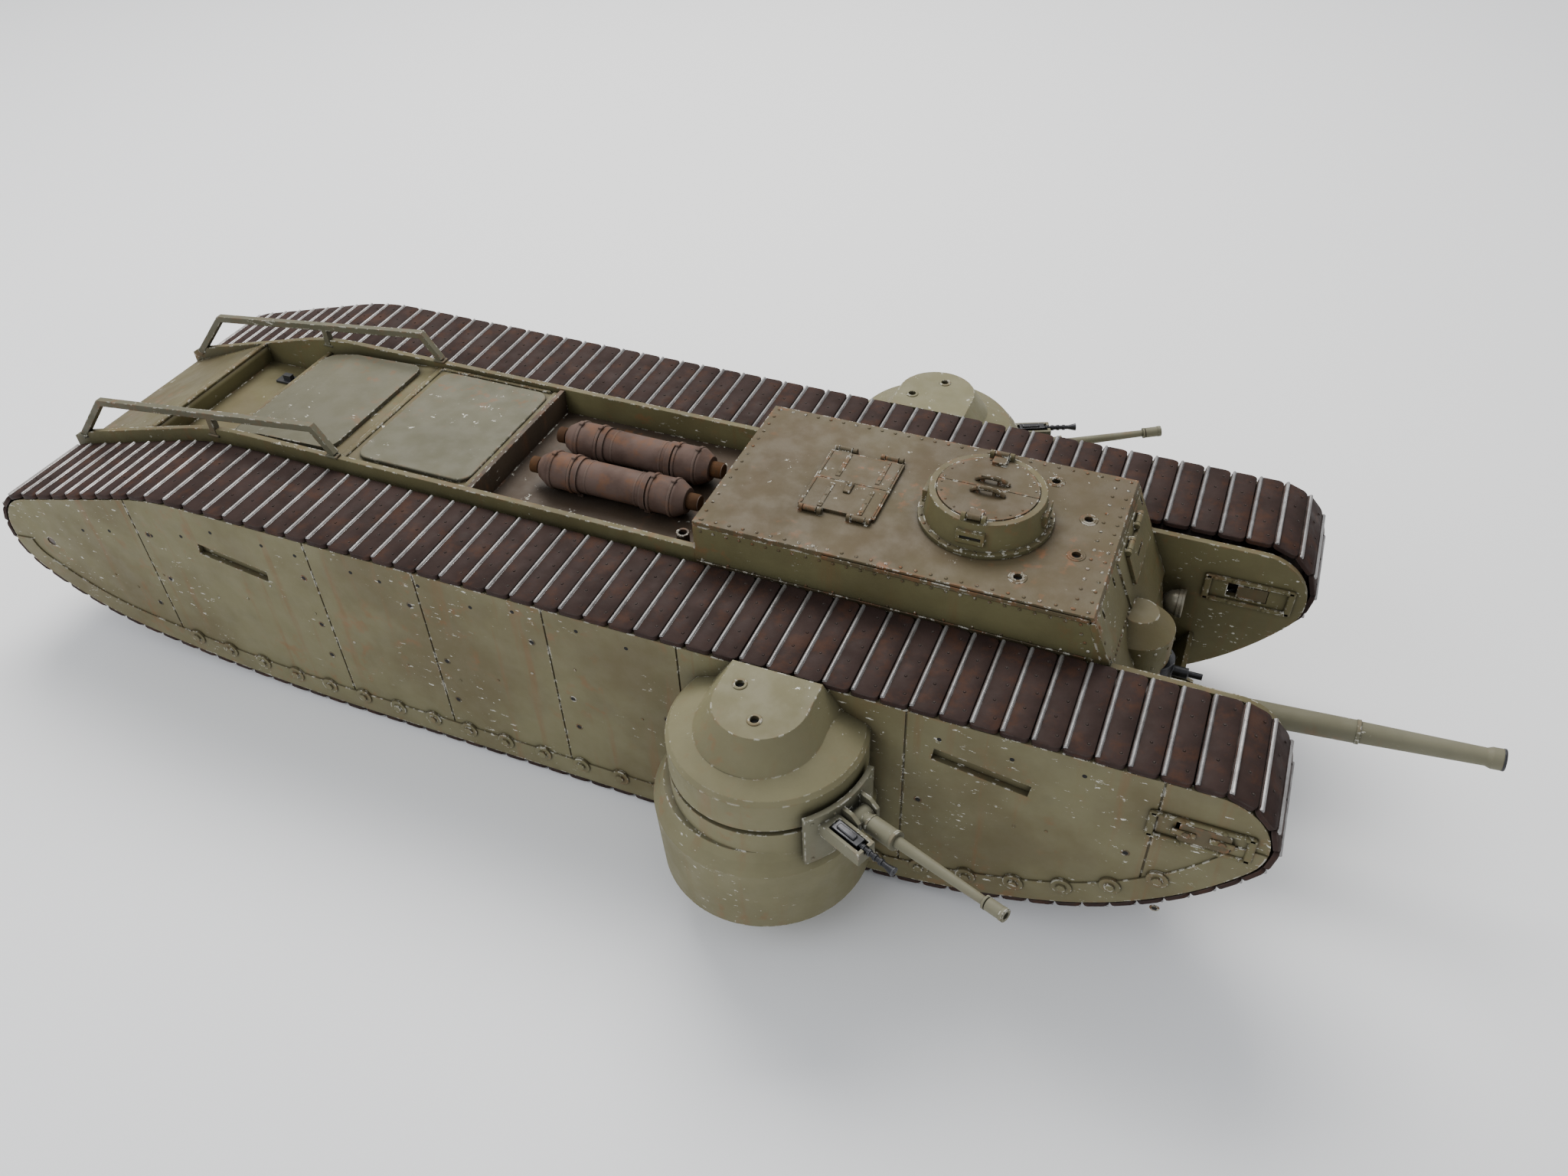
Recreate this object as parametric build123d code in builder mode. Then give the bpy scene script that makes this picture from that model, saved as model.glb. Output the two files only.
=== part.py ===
"""Radio-controlled model of a rhomboid heavy tank, as separate pieces.

Millimetres. +X is the tank's front, +Y its left, +Z up. The pieces are drawn from a point on the
ground under the middle of the tracks, then written from one under the middle of the whole length, bow
gun included. Pieces that come in pairs are drawn on the right (-Y) and mirrored to the left.
"""

import math
import os

from build123d import *

os.makedirs("parts", exist_ok=True)

# ---- Driving dimensions ----------------------------------------------------------------------------

middle_x = 41.52            # halfway from the tail of the tracks to the bow gun's muzzle

# Track belt
lip_height = 1.0            # raised lip of a track plate, which meets the ground
track_top = 116.4           # outer face of the plates on the upper run
track_width = 48.9
track_middle = 74.0         # distance of each belt's middle from the centre line
plate_thickness = 2.4
chain_thickness = 3.4
chain_width = 16.0
link_pitch = 12.0
groove_depth = 1.4

# Side outline of the belt: flat run, then arcs that turn upwards at each end
front_flat_x = 144.4
rear_flat_x = -110.0
front_rise_radius = 290.0
front_rise_turn = 20.0
chin_radius = 151.0
chin_turn = 36.0
rear_rise_radius = 850.0
rear_rise_turn = 9.2
heel_radius = 152.0
heel_turn = 25.8
tail_radius = 29.8
rear_slope = 15.0
deck_bend_radius = 152.0

# Side plates
hull_half_width = 44.2      # inner face of the inner side plates
inner_plate = 3.0
outer_plate = 2.6
outer_face = 98.2           # outer face of the outer side plates
side_inset = 3.0            # side plates' edge, inside the outer face of the track plates
joint_lines = (-220.0, -111.0, -51.0, 15.0, 79.3, 178.7, 277.5)
joint_width = 0.8
joint_depth = 0.6
coaming_rise = 5.6          # rim of the hull wall, above the outline
coaming_front = 64.3
coaming_rear = -311.0

# Wheels
axle_radius = 2.5
running_fit = 0.05
wheel_gap = 0.35            # wheels to the belt
wheel_width = 13.0
hub_radius = 6.0
sprocket_teeth = 11
tooth_depth = 3.0
roller_radius = 7.4
cap_pitch = 21.0
cap_origin = -0.4           # one cap stands here, and the rest are stepped from it
caps_behind = 10
caps_ahead = 14
roller_steps = (-5, 0, 5)   # caps that cover a road roller's axle
cap_radius = 4.4
cap_thickness = 1.4
tensioner_travel = 4.0
block_length = 13.0
block_height = 7.0
slot_slack = 0.3

# Hull
sheet = 2.4
belly_z = 12.0
bend_radius = 1.5
bay_rear = -53.0
bay_floor = 108.0
rim_z = 121.4
deck_z = 117.5
well_front = -203.0
well_rear = -250.0
well_floor = 97.0
nose_notch_low = 44.0       # room for the bow gun in the nose plate
nose_notch_width = 34.0
nose_notch_depth = 40.0
switch_place = (-226.0, 30.0)
switch_neck_length = 5.0
switch_neck_width = 3.0
switch_travel = 2.0

# Exhaust silencers
silencer_radius = 9.0
silencer_y = 13.1
silencer_z = 118.0
silencer_rear = -27.0
silencer_front = 40.0
stub_radius = 3.6

# Cab
cab_rear = coaming_front
cab_front = 237.3           # front edge of the roof
cab_half_width = 47.2
cab_wall = 2.8
roof_thickness = 2.4
roof_top = 137.0
front_lean = 22.8           # front plate, from upright
front_thickness = 3.0

# Cupola
cupola_x = 181.0
cupola_top = 152.0
cupola_flange = 29.0
cupola_foot = 26.5
cupola_rim = 24.8
cupola_bore = 18.5
leaf_radius = 21.6
leaf_thickness = 2.2
leaf_gap = 0.3

# Roof hatch
hatch_rear = 103.0
hatch_front = 138.0
hatch_half_width = 21.0
roof_leaf_thickness = 1.5

# Hinges of the hatches and the visor
knuckle_radius = 1.3
pin_radius = 0.6
knuckle_length = 6.0
lug_length = 2.0
knuckle_gap = 0.3

# Sponsons
sponson_x = 123.0
sponson_y = 112.0
drum_floor = 24.0
drum_bottom_radius = 45.5
drum_shoulder_radius = 47.0
drum_shoulder_z = 60.0
neck_x = 125.5              # the neck and the roof stand a little ahead of the drum
neck_radius = 41.2
drum_wall = 2.8
slot_bottom = 81.0
slot_height = 2.6
roof_eaves = 99.0
tongue_top = 116.0
tongue_radius = 19.4
tongue_shift = 1.9          # tongue's middle, ahead of the sponson's axis
tongue_reach = 4.0          # tongue's round end, outboard of the sponson's axis
post_radius = 3.0
shield_inner = 45.2
shield_outer = 47.6
shield_bottom = 65.5
shield_top = 92.0
shield_arc = 48.0
gun_heading = -23.7         # the right side gun at rest, from +X

# Side guns
side_gun_offset = 3.0
side_gun_reach = 122.0
side_gun_z = 83.0
side_gun_pitch = 6.3
side_sleeve_radius = 3.9
ear_thickness = 1.8
ear_gap = 0.4
mg_offset = -9.0
mg_reach = 80.0

# Bow gun
bow_gun_z = 59.9
bow_pitch = 5.1
bow_root_radius = 5.7
bow_reach = 130.0
bow_mount_x = 258.0
bow_mount_radius = 11.0
bow_mount_half_height = 13.0

# Bow machine gun, in a rounded housing on the front plate
bow_mg_x = 262.0
bow_mg_y = -8.0
bow_mg_z = 83.0
bow_mg_radius = 8.6
bow_mg_half_height = 6.0
bow_mg_reach = 21.0
housing_x = 252.0
housing_radius = 16.0
housing_top = 104.0
housing_crown = 112.0

# Headlamps
lamp_x = 266.0
lamp_y = 36.0
lamp_z = 83.0
lamp_radius = 6.5
lamp_length = 8.0


# ---- Helpers ---------------------------------------------------------------------------------------

def save(part, name):
    """Label a finished piece and write it, measured from the middle of the whole length."""
    placed = part.moved(Location((-middle_x, 0, 0)))
    placed.label = name
    export_step(placed, f"parts/{name}.step")


def save_pair(part, name):
    """Write a piece of the right side and its mirror image on the left."""
    save(part, f"{name}_right")
    save(mirror(part, about=Plane.XZ), f"{name}_left")


def swing(radius, start, end):
    """Step along an arc that turns left from one heading to another, in degrees."""
    first, last = math.radians(start), math.radians(end)
    return Vector(radius * (math.sin(last) - math.sin(first)), radius * (math.cos(first) - math.cos(last)))


def side_plane(distance):
    """Upright plane on the right side that faces outwards, at a distance from the centre line."""
    return Plane.XZ.offset(distance)


# ---- Outline of the track --------------------------------------------------------------------------

front_flat = Vector(front_flat_x, lip_height)
rear_flat = Vector(rear_flat_x, lip_height)
chin_heading = front_rise_turn + chin_turn
chin_end = front_flat + swing(front_rise_radius, 0, front_rise_turn)
chin_end = chin_end + swing(chin_radius, front_rise_turn, chin_heading)
nose_radius = (track_top - chin_end.Y) / (1 + math.cos(math.radians(chin_heading)))
nose_centre = chin_end + Vector(0, nose_radius).rotate(Axis.Z, chin_heading)
heel_heading = 360 - rear_rise_turn - heel_turn
heel_end = rear_flat - swing(rear_rise_radius, 360 - rear_rise_turn, 360)
tail_end = heel_end - swing(heel_radius, heel_heading, 360 - rear_rise_turn)
tail_centre = tail_end + Vector(0, tail_radius).rotate(Axis.Z, heel_heading)
tail_start = tail_end - swing(tail_radius, 180 + rear_slope, heel_heading)
slope_direction = Vector(-1, 0).rotate(Axis.Z, rear_slope)
bend_corner_x = tail_start.X + (track_top - tail_start.Y) / math.tan(math.radians(rear_slope))
bend_tangent = deck_bend_radius * math.tan(math.radians(rear_slope / 2))
bend_corner = Vector(bend_corner_x, track_top)
bend_start = bend_corner + Vector(bend_tangent, 0)
bend_end = bend_corner + slope_direction * bend_tangent


def outline(inset):
    """Side outline of the track as a face, drawn in by inset."""
    with BuildSketch() as shape:
        with BuildLine():
            Line(rear_flat, front_flat)
            rise = JernArc(front_flat, (1, 0), front_rise_radius, front_rise_turn)
            chin = JernArc(rise @ 1, rise % 1, chin_radius, chin_turn)
            nose = JernArc(chin @ 1, chin % 1, nose_radius, 180 - chin_heading)
            Line(nose @ 1, bend_start)
            JernArc(bend_start, (-1, 0), deck_bend_radius, rear_slope)
            Line(bend_end, tail_start)
            tail = JernArc(tail_start, slope_direction, tail_radius, heel_heading - 180 - rear_slope)
            heel = JernArc(tail @ 1, tail % 1, heel_radius, heel_turn)
            JernArc(heel @ 1, heel % 1, rear_rise_radius, rear_rise_turn)
        make_face()
        if inset != 0:
            offset(amount=-inset, mode=Mode.REPLACE)
    return shape.sketch


belt_outline = outline(0)
plate_outline = outline(side_inset)
chain_outline = outline(plate_thickness)
chain_inside = outline(plate_thickness + chain_thickness)
rim_outline = outline(-coaming_rise)


# ---- Track belts -----------------------------------------------------------------------------------

belt_path = belt_outline.face().outer_wire()
link_count = round(belt_path.length / link_pitch)
# One link, as shares of its length and heights over the plate: gap, plate, lip, plate
link_steps = [(0, -groove_depth), (0.06, -groove_depth), (0.06, 0), (0.78, 0), (0.81, lip_height),
              (0.92, lip_height), (0.95, 0), (1, 0)]
link_points = []
for link in range(link_count):
    for share, height in link_steps:
        along = (link + share) / link_count
        outward = (belt_path % along).rotate(Axis.Z, -90)
        link_points.append(belt_path @ along + outward * height)

belt_inner_y = track_middle - track_width / 2
with BuildPart() as track_belt:
    with BuildSketch(side_plane(belt_inner_y)):
        with BuildLine():
            Polyline(*link_points, close=True)
        make_face()
        add(chain_outline, mode=Mode.SUBTRACT)
    extrude(amount=track_width)
    with BuildSketch(side_plane(track_middle - chain_width / 2)):
        add(chain_outline)
        add(chain_inside, mode=Mode.SUBTRACT)
    extrude(amount=chain_width)
save_pair(track_belt.part, "track_belt")


# ---- Side plates -----------------------------------------------------------------------------------

wheel_inset = plate_thickness + chain_thickness
sprocket_radius = tail_radius - wheel_inset - wheel_gap
idler_radius = nose_radius - wheel_inset - wheel_gap
roller_z = lip_height + wheel_inset + wheel_gap + roller_radius
axle_bore = axle_radius + running_fit
roller_xs = [cap_origin + step * cap_pitch for step in roller_steps]
slot_length = block_length + tensioner_travel + 2 * slot_slack
slot_middle_x = nose_centre.X - tensioner_travel / 2
slot_height_z = block_height + 2 * slot_slack


def wheel_holes():
    """Holes of one side plate: sprocket axle, roller axles and the tensioner's slot."""
    with Locations(tail_centre, *[(x, roller_z) for x in roller_xs]):
        Circle(axle_bore, mode=Mode.SUBTRACT)
    with Locations((slot_middle_x, nose_centre.Y)):
        Rectangle(slot_length, slot_height_z, mode=Mode.SUBTRACT)


with BuildSketch() as coaming:
    add(rim_outline)
    with Locations(((coaming_front + coaming_rear) / 2, track_top)):
        Rectangle(coaming_front - coaming_rear, track_top, mode=Mode.INTERSECT)

with BuildPart() as inner_side_plate:
    with BuildSketch(side_plane(hull_half_width)):
        add(plate_outline)
        add(coaming.sketch)
        wheel_holes()
    extrude(amount=inner_plate)
save_pair(inner_side_plate.part, "inner_side_plate")

vent_sizes = (40.0, 6.5)
vent_places = ((-161.0, 86.4, -9.0), (210.0, 90.0, -9.0))
with BuildPart() as outer_side_plate:
    with BuildSketch(side_plane(outer_face - outer_plate)):
        add(plate_outline)
        wheel_holes()
        for vent_x, vent_z, vent_turn in vent_places:
            with Locations(Location((vent_x, vent_z), vent_turn)):
                Rectangle(*vent_sizes, mode=Mode.SUBTRACT)
    extrude(amount=outer_plate)
    with BuildSketch(side_plane(outer_face)):
        with Locations(*[(x, track_top / 2) for x in joint_lines]):
            Rectangle(joint_width, 2 * track_top)
    extrude(amount=-joint_depth, mode=Mode.SUBTRACT)
save_pair(outer_side_plate.part, "outer_side_plate")

skid_thickness = 2.2
skid_front = nose_centre.X - idler_radius - 3
skid_rear = bend_start.X
frame_inside = outer_face - outer_plate - hull_half_width - inner_plate
with BuildPart() as track_skid:
    with BuildSketch(side_plane(hull_half_width + inner_plate)):
        with Locations(((skid_front + skid_rear) / 2, track_top - wheel_inset - skid_thickness / 2)):
            Rectangle(skid_front - skid_rear, skid_thickness)
    extrude(amount=frame_inside)
save_pair(track_skid.part, "track_skid")


# ---- Wheels inside the side frames -----------------------------------------------------------------

wheel_inner_y = track_middle - wheel_width / 2
axle_inner_y = hull_half_width + 0.4
axle_outer_y = outer_face - 0.4
hub_reach = 4.0


def wheel(radius, axle_start, centre):
    """Wheel with hubs on its own axle."""
    with BuildPart() as turned:
        with BuildSketch(side_plane(wheel_inner_y)):
            with Locations(centre):
                Circle(radius)
        extrude(amount=wheel_width)
        with BuildSketch(side_plane(wheel_inner_y - hub_reach)):
            with Locations(centre):
                Circle(hub_radius)
        extrude(amount=wheel_width + 2 * hub_reach)
        with BuildSketch(side_plane(axle_start)):
            with Locations(centre):
                Circle(axle_radius)
        extrude(amount=axle_outer_y - axle_start)
    return turned.part


motor_socket_y = 32.0
sprocket_blank = wheel(sprocket_radius, motor_socket_y, tail_centre)
with BuildPart() as drive_sprocket:
    add(sprocket_blank)
    with BuildSketch(side_plane(wheel_inner_y)):
        with Locations(tail_centre):
            with PolarLocations(sprocket_radius, sprocket_teeth):
                Circle(tooth_depth)
            with PolarLocations((sprocket_radius + hub_radius) / 2, sprocket_teeth // 2):
                Circle(tooth_depth)
    extrude(amount=wheel_width, mode=Mode.SUBTRACT)
save_pair(drive_sprocket.part, "drive_sprocket")

with BuildPart() as front_idler:
    with BuildSketch(side_plane(wheel_inner_y)):
        with Locations(nose_centre):
            Circle(idler_radius)
            with PolarLocations(idler_radius * 0.6, 6):
                Circle(idler_radius * 0.2, mode=Mode.SUBTRACT)
            Circle(axle_bore, mode=Mode.SUBTRACT)
    extrude(amount=wheel_width)
save_pair(front_idler.part, "front_idler")

for number, roller_x in enumerate(roller_xs, start=1):
    save_pair(wheel(roller_radius, axle_inner_y, (roller_x, roller_z)), f"road_roller_{number}")

flange_thickness = 1.2
flange_gap = 0.1
with BuildPart() as idler_tensioner:
    with BuildSketch(side_plane(hull_half_width)):
        with Locations(nose_centre):
            Rectangle(block_length, block_height)
    extrude(amount=outer_plate + 2)
    with BuildSketch(side_plane(outer_face - outer_plate - 2)):
        with Locations(nose_centre):
            Rectangle(block_length, block_height)
    extrude(amount=outer_plate + 2 + flange_gap)
    with BuildSketch(side_plane(outer_face + flange_gap)):
        with Locations(nose_centre):
            RectangleRounded(block_length + 6, block_height + 3, 1.5)
    extrude(amount=flange_thickness)
    with BuildSketch(side_plane(outer_face + flange_gap + flange_thickness)):
        with Locations(nose_centre):
            with GridLocations(block_length, 1, 2, 1):
                RegularPolygon(1.6, 6)
    extrude(amount=1)
    with BuildSketch(side_plane(hull_half_width)):
        with Locations(nose_centre):
            Circle(axle_radius)
    extrude(amount=outer_face - hull_half_width)
save_pair(idler_tensioner.part, "idler_tensioner")

cap_path = outline(roller_z - lip_height).face().outer_wire()
cap_start = cap_path.param_at_point(Vector(cap_origin, roller_z))
cap_step = cap_pitch / cap_path.length
cap_ahead = 1 if (cap_path % cap_start).X > 0 else -1
cap_places = [cap_path @ ((cap_start + cap_ahead * step * cap_step) % 1)
              for step in range(-caps_behind, caps_ahead + 1)]
with BuildPart() as caps_on_right:
    for place in cap_places:
        with BuildSketch(side_plane(outer_face)):
            with Locations(place):
                Circle(cap_radius)
        extrude(amount=cap_thickness)
        with BuildSketch(side_plane(outer_face + cap_thickness)):
            with Locations(place):
                RegularPolygon(cap_radius / 2, 6)
        extrude(amount=1)
with BuildPart() as roller_caps:
    add(caps_on_right.part)
    mirror(about=Plane.XZ)
save(roller_caps.part, "roller_caps")


# ---- Hull ------------------------------------------------------------------------------------------

def bent_plate(points):
    """Sheet bent along a side view, as wide as the hull inside."""
    with BuildPart() as plate:
        with BuildSketch(Plane.XZ):
            with BuildLine():
                FilletPolyline(*points, radius=bend_radius)
            trace(line_width=sheet)
        extrude(amount=hull_half_width, both=True)
    return plate.part


belly = [(275, 60), (262, 36), (205, belly_z), (-190, belly_z), (-262, 27), (-303, 58), (-308.2, 83.5)]
with BuildPart() as hull_tub:
    add(bent_plate(belly))
    with BuildSketch(Plane.XY.offset(nose_notch_low)):
        with Locations((belly[0][0], 0)):
            Rectangle(nose_notch_depth, nose_notch_width)
    extrude(amount=track_top, mode=Mode.SUBTRACT)
save(hull_tub.part, "hull_tub")

bay_back = bay_rear - sheet / 2
deck = [(bay_back - sheet / 2, deck_z), (-135, deck_z), (well_front, 111), (well_front, well_floor),
        (well_rear, well_floor), (well_rear, 108), (-309, 85)]
with BuildPart() as rear_deck:
    add(bent_plate(deck))
    with BuildSketch(Plane.XY.offset(well_floor)):
        with Locations(switch_place):
            Rectangle(switch_neck_length + 2 * (switch_travel + slot_slack),
                      switch_neck_width + 2 * slot_slack)
    extrude(amount=sheet, both=True, mode=Mode.SUBTRACT)
save(rear_deck.part, "rear_deck")

bay_front = cab_rear - sheet / 2
bay_middle_z = bay_floor - sheet / 2
bay_sheet = bent_plate([(bay_back, rim_z), (bay_back, bay_middle_z),
                        (bay_front, bay_middle_z), (bay_front, rim_z)])
pipe_place = (53, -36)
pipe_radius = 3.0
pipe_height = 11.0
with BuildPart() as engine_bay:
    add(bay_sheet)
    with BuildSketch(Plane.XY.offset(bay_floor)):
        with Locations(pipe_place):
            Circle(pipe_radius)
            Circle(pipe_radius - 1, mode=Mode.SUBTRACT)
    extrude(amount=pipe_height)
save(engine_bay.part, "engine_bay")

cover_thickness = 2.0
cover_length = 64.0
cover_width = 80.0
cover_corner = 7.0
with BuildPart() as deck_cover_front:
    with BuildSketch(Plane.XY.offset(deck_z + sheet / 2)):
        with Locations((-91, 0)):
            RectangleRounded(cover_length, cover_width, cover_corner)
    extrude(amount=cover_thickness)
    fillet(deck_cover_front.faces().sort_by(Axis.Z)[-1].edges(), radius=0.8)
save(deck_cover_front.part, "deck_cover_front")

rear_cover_x = -169.0
deck_top = deck_z + sheet / 2
rear_cover_gap = 0.4
rear_cover_low = 111 + sheet / 2 + rear_cover_gap
cover_rear_edge = rear_cover_x - cover_length / 2
cover_front_edge = rear_cover_x + cover_length / 2
with BuildPart() as deck_cover_rear:
    with BuildSketch(side_plane(-cover_width)):
        with BuildLine():
            Polyline((cover_front_edge + 1, deck_top + cover_thickness), (cover_front_edge + 1, deck_top),
                     (-135, deck_top), (cover_rear_edge - 1, rear_cover_low),
                     (cover_rear_edge - 1, rear_cover_low + cover_thickness),
                     (rear_cover_x - 12, deck_top + 0.1), close=True)
        make_face()
    extrude(amount=2 * cover_width)
    with BuildSketch(Plane.XY.offset(rear_cover_low / 2)):
        with Locations((rear_cover_x, 0)):
            RectangleRounded(cover_length, cover_width, cover_corner)
    extrude(amount=track_top, mode=Mode.INTERSECT)
save(deck_cover_rear.part, "deck_cover_rear")

rail_bar = 3.4
rail_root = 0.2   # how far the bar's foot is let into the plate
rail_points = ((-305.5, 92.0), (-280.5, 119.0), (-138.4, 136.6), (-129.0, 123.2))
rail_post = ((-204.0, 116.8), (-204.0, 128.0))
with BuildPart() as deck_rail:
    with BuildSketch(side_plane(hull_half_width - rail_root)):
        with BuildLine():
            Polyline(*rail_points)
        trace(line_width=rail_bar)
        with BuildLine():
            Line(*rail_post)
        trace(line_width=rail_bar)
    extrude(amount=rail_bar)
    add(inner_side_plate.part, mode=Mode.SUBTRACT)
save_pair(deck_rail.part, "deck_rail")


# ---- Silencers -------------------------------------------------------------------------------------

cap_overlap = 0.8
cap_length = 12.0
dome_depth = 5.0
dome_radius = 6.0
stub_length = 6.0
stub_wall = 1.0
stub_bore_depth = 8.0
stub_rear = silencer_rear - dome_depth - stub_length
stub_front = silencer_front + dome_depth + stub_length
drum_radius = silencer_radius - cap_overlap
silencer_steps = ((stub_rear, 0), (stub_rear, stub_radius), (silencer_rear - dome_depth, stub_radius),
                  (silencer_rear - dome_depth, dome_radius), (silencer_rear, silencer_radius),
                  (silencer_rear + cap_length, silencer_radius), (silencer_rear + cap_length, drum_radius),
                  (silencer_front - cap_length, drum_radius), (silencer_front - cap_length, silencer_radius),
                  (silencer_front, silencer_radius), (silencer_front + dome_depth, dome_radius),
                  (silencer_front + dome_depth, stub_radius), (stub_front, stub_radius), (stub_front, 0))
with BuildPart() as silencer:
    with BuildSketch(Plane.XZ.offset(silencer_y)):
        with BuildLine():
            Polyline(*[(x, silencer_z + radius) for x, radius in silencer_steps], close=True)
        make_face()
    revolve(axis=Axis((0, -silencer_y, silencer_z), (1, 0, 0)))
    with BuildSketch(Plane.YZ.offset(stub_rear)):
        with Locations((-silencer_y, silencer_z)):
            Circle(stub_radius - stub_wall)
    extrude(amount=stub_bore_depth, mode=Mode.SUBTRACT)
save_pair(silencer.part, "silencer")

strap_width = 3.0
strap_thickness = 0.8
strap_inset = cap_length + 2
strap_foot = 8.0
with BuildPart() as strap:
    with BuildSketch(Plane.YZ.offset(silencer_rear + strap_inset)):
        with Locations((-silencer_y, silencer_z)):
            Circle(drum_radius + strap_thickness)
        with Locations((-silencer_y, (silencer_z + bay_floor) / 2)):
            Rectangle(strap_foot, silencer_z - bay_floor)
        with Locations((-silencer_y, silencer_z)):
            Circle(drum_radius, mode=Mode.SUBTRACT)
    extrude(amount=strap_width)
with BuildPart() as silencer_straps:
    with Locations((0, 0), (silencer_front - silencer_rear - 2 * strap_inset - strap_width, 0)):
        add(strap.part)
    mirror(about=Plane.XZ)
save(silencer_straps.part, "silencer_straps")


# ---- Hinges ----------------------------------------------------------------------------------------

def across(base, x):
    """Plane square to the hinge line of a base plane; its own axes are the base's y and z."""
    return Plane(origin=base.from_local_coords((x, 0, 0)), x_dir=base.y_dir, z_dir=base.x_dir)


def hinge_knuckles(base, xs, axis, leaf_edge, low, high):
    """Knuckles of a leaf, each with its tab and pin hole; axis is (y, z) in the base plane."""
    with BuildPart() as knuckles:
        for x in xs:
            with BuildSketch(across(base, x - knuckle_length / 2)):
                with Locations(((leaf_edge + axis[0]) / 2, (low + high) / 2)):
                    Rectangle(abs(axis[0] - leaf_edge), high - low)
                with Locations(axis):
                    Circle(knuckle_radius)
                    Circle(pin_radius + running_fit, mode=Mode.SUBTRACT)
            extrude(amount=knuckle_length)
    return knuckles.part


def hinge_lugs(base, xs, axis, foot):
    """Lugs on each side of every knuckle, with the pin between them, standing on the height foot."""
    lug_step = knuckle_length / 2 + knuckle_gap
    with BuildPart() as lugs:
        for x in xs:
            for lug_x in (x - lug_step - lug_length, x + lug_step):
                with BuildSketch(across(base, lug_x)):
                    with Locations((axis[0], (foot + axis[1]) / 2)):
                        Rectangle(2 * knuckle_radius, axis[1] - foot)
                    with Locations(axis):
                        Circle(knuckle_radius)
                extrude(amount=lug_length)
            with BuildSketch(across(base, x - lug_step - lug_length)):
                with Locations(axis):
                    Circle(pin_radius)
            extrude(amount=2 * (lug_step + lug_length))
    return lugs.part


# ---- Cab -------------------------------------------------------------------------------------------

lean = math.radians(front_lean)
plate_top = track_top - side_inset
roof_bottom = roof_top - roof_thickness
front_plane = Plane(origin=(cab_front, 0, roof_top), x_dir=(0, 1, 0),
                    z_dir=(math.cos(lean), 0, math.sin(lean)))


def lean_x(z, depth=0):
    """X of the leaning front plate at a height, at a depth behind its outer face."""
    return cab_front + (roof_top - z) * math.tan(lean) - depth / math.cos(lean)


def down_front(z):
    """Height z as the front plane's own y."""
    return -(roof_top - z) / math.cos(lean)


with BuildPart() as cab_body:
    with BuildSketch(side_plane(-cab_half_width)):
        with BuildLine():
            Polyline((cab_rear, plate_top), (lean_x(plate_top, front_thickness), plate_top),
                     (lean_x(roof_bottom, front_thickness), roof_bottom), (cab_rear, roof_bottom), close=True)
        make_face()
    extrude(amount=2 * cab_half_width)
    with BuildSketch(Plane.XY.offset(plate_top)):
        with Locations((cab_rear + cab_wall + cab_front / 2, 0)):
            Rectangle(cab_front, 2 * (cab_half_width - cab_wall))
    extrude(amount=roof_bottom - plate_top, mode=Mode.SUBTRACT)
save(cab_body.part, "cab_body")

hatch_axis = (-hatch_half_width - 2, roof_top + 1.6)
hatch_hinge_xs = (hatch_rear + 6.5, hatch_front - 6.5)
roof_holes = ((203.7, 34), (222.7, 12.3), (203.7, -34), (222.7, -12.3))
roof_hole_radius = 1.9
hatch_lugs = hinge_lugs(Plane.XY, hatch_hinge_xs, hatch_axis, roof_top)
with BuildPart() as cab_roof:
    with BuildSketch(side_plane(-cab_half_width)):
        with BuildLine():
            Polyline((cab_rear, roof_bottom), (lean_x(roof_bottom), roof_bottom), (cab_front, roof_top),
                     (cab_rear, roof_top), close=True)
        make_face()
    extrude(amount=2 * cab_half_width)
    with BuildSketch(Plane.XY.offset(roof_bottom)):
        with Locations((cupola_x, 0)):
            Circle(cupola_bore)
        with Locations(((hatch_rear + hatch_front) / 2, 0)):
            RectangleRounded(hatch_front - hatch_rear - 5, 2 * hatch_half_width - 6, 3)
        with Locations(*roof_holes):
            Circle(roof_hole_radius)
    extrude(amount=roof_thickness, mode=Mode.SUBTRACT)
    with BuildSketch(Plane.XY.offset(roof_top)):
        with Locations(*roof_holes):
            Circle(roof_hole_radius + 1)
            Circle(roof_hole_radius, mode=Mode.SUBTRACT)
    extrude(amount=0.4)
    add(hatch_lugs)
    add(mirror(hatch_lugs, about=Plane.XZ))
save(cab_roof.part, "cab_roof")

hatch_knuckles = hinge_knuckles(Plane.XY, hatch_hinge_xs, hatch_axis, -hatch_half_width + 0.5,
                                roof_top + 0.4, roof_top + roof_leaf_thickness)
with BuildPart() as roof_hatch:
    with BuildSketch(Plane.XY.offset(roof_top)):
        with Locations(((hatch_rear + hatch_front) / 2, -(hatch_half_width + leaf_gap / 2) / 2)):
            Rectangle(hatch_front - hatch_rear, hatch_half_width - leaf_gap / 2)
    extrude(amount=roof_leaf_thickness)
    add(hatch_knuckles)
save_pair(roof_hatch.part, "roof_hatch")

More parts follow.
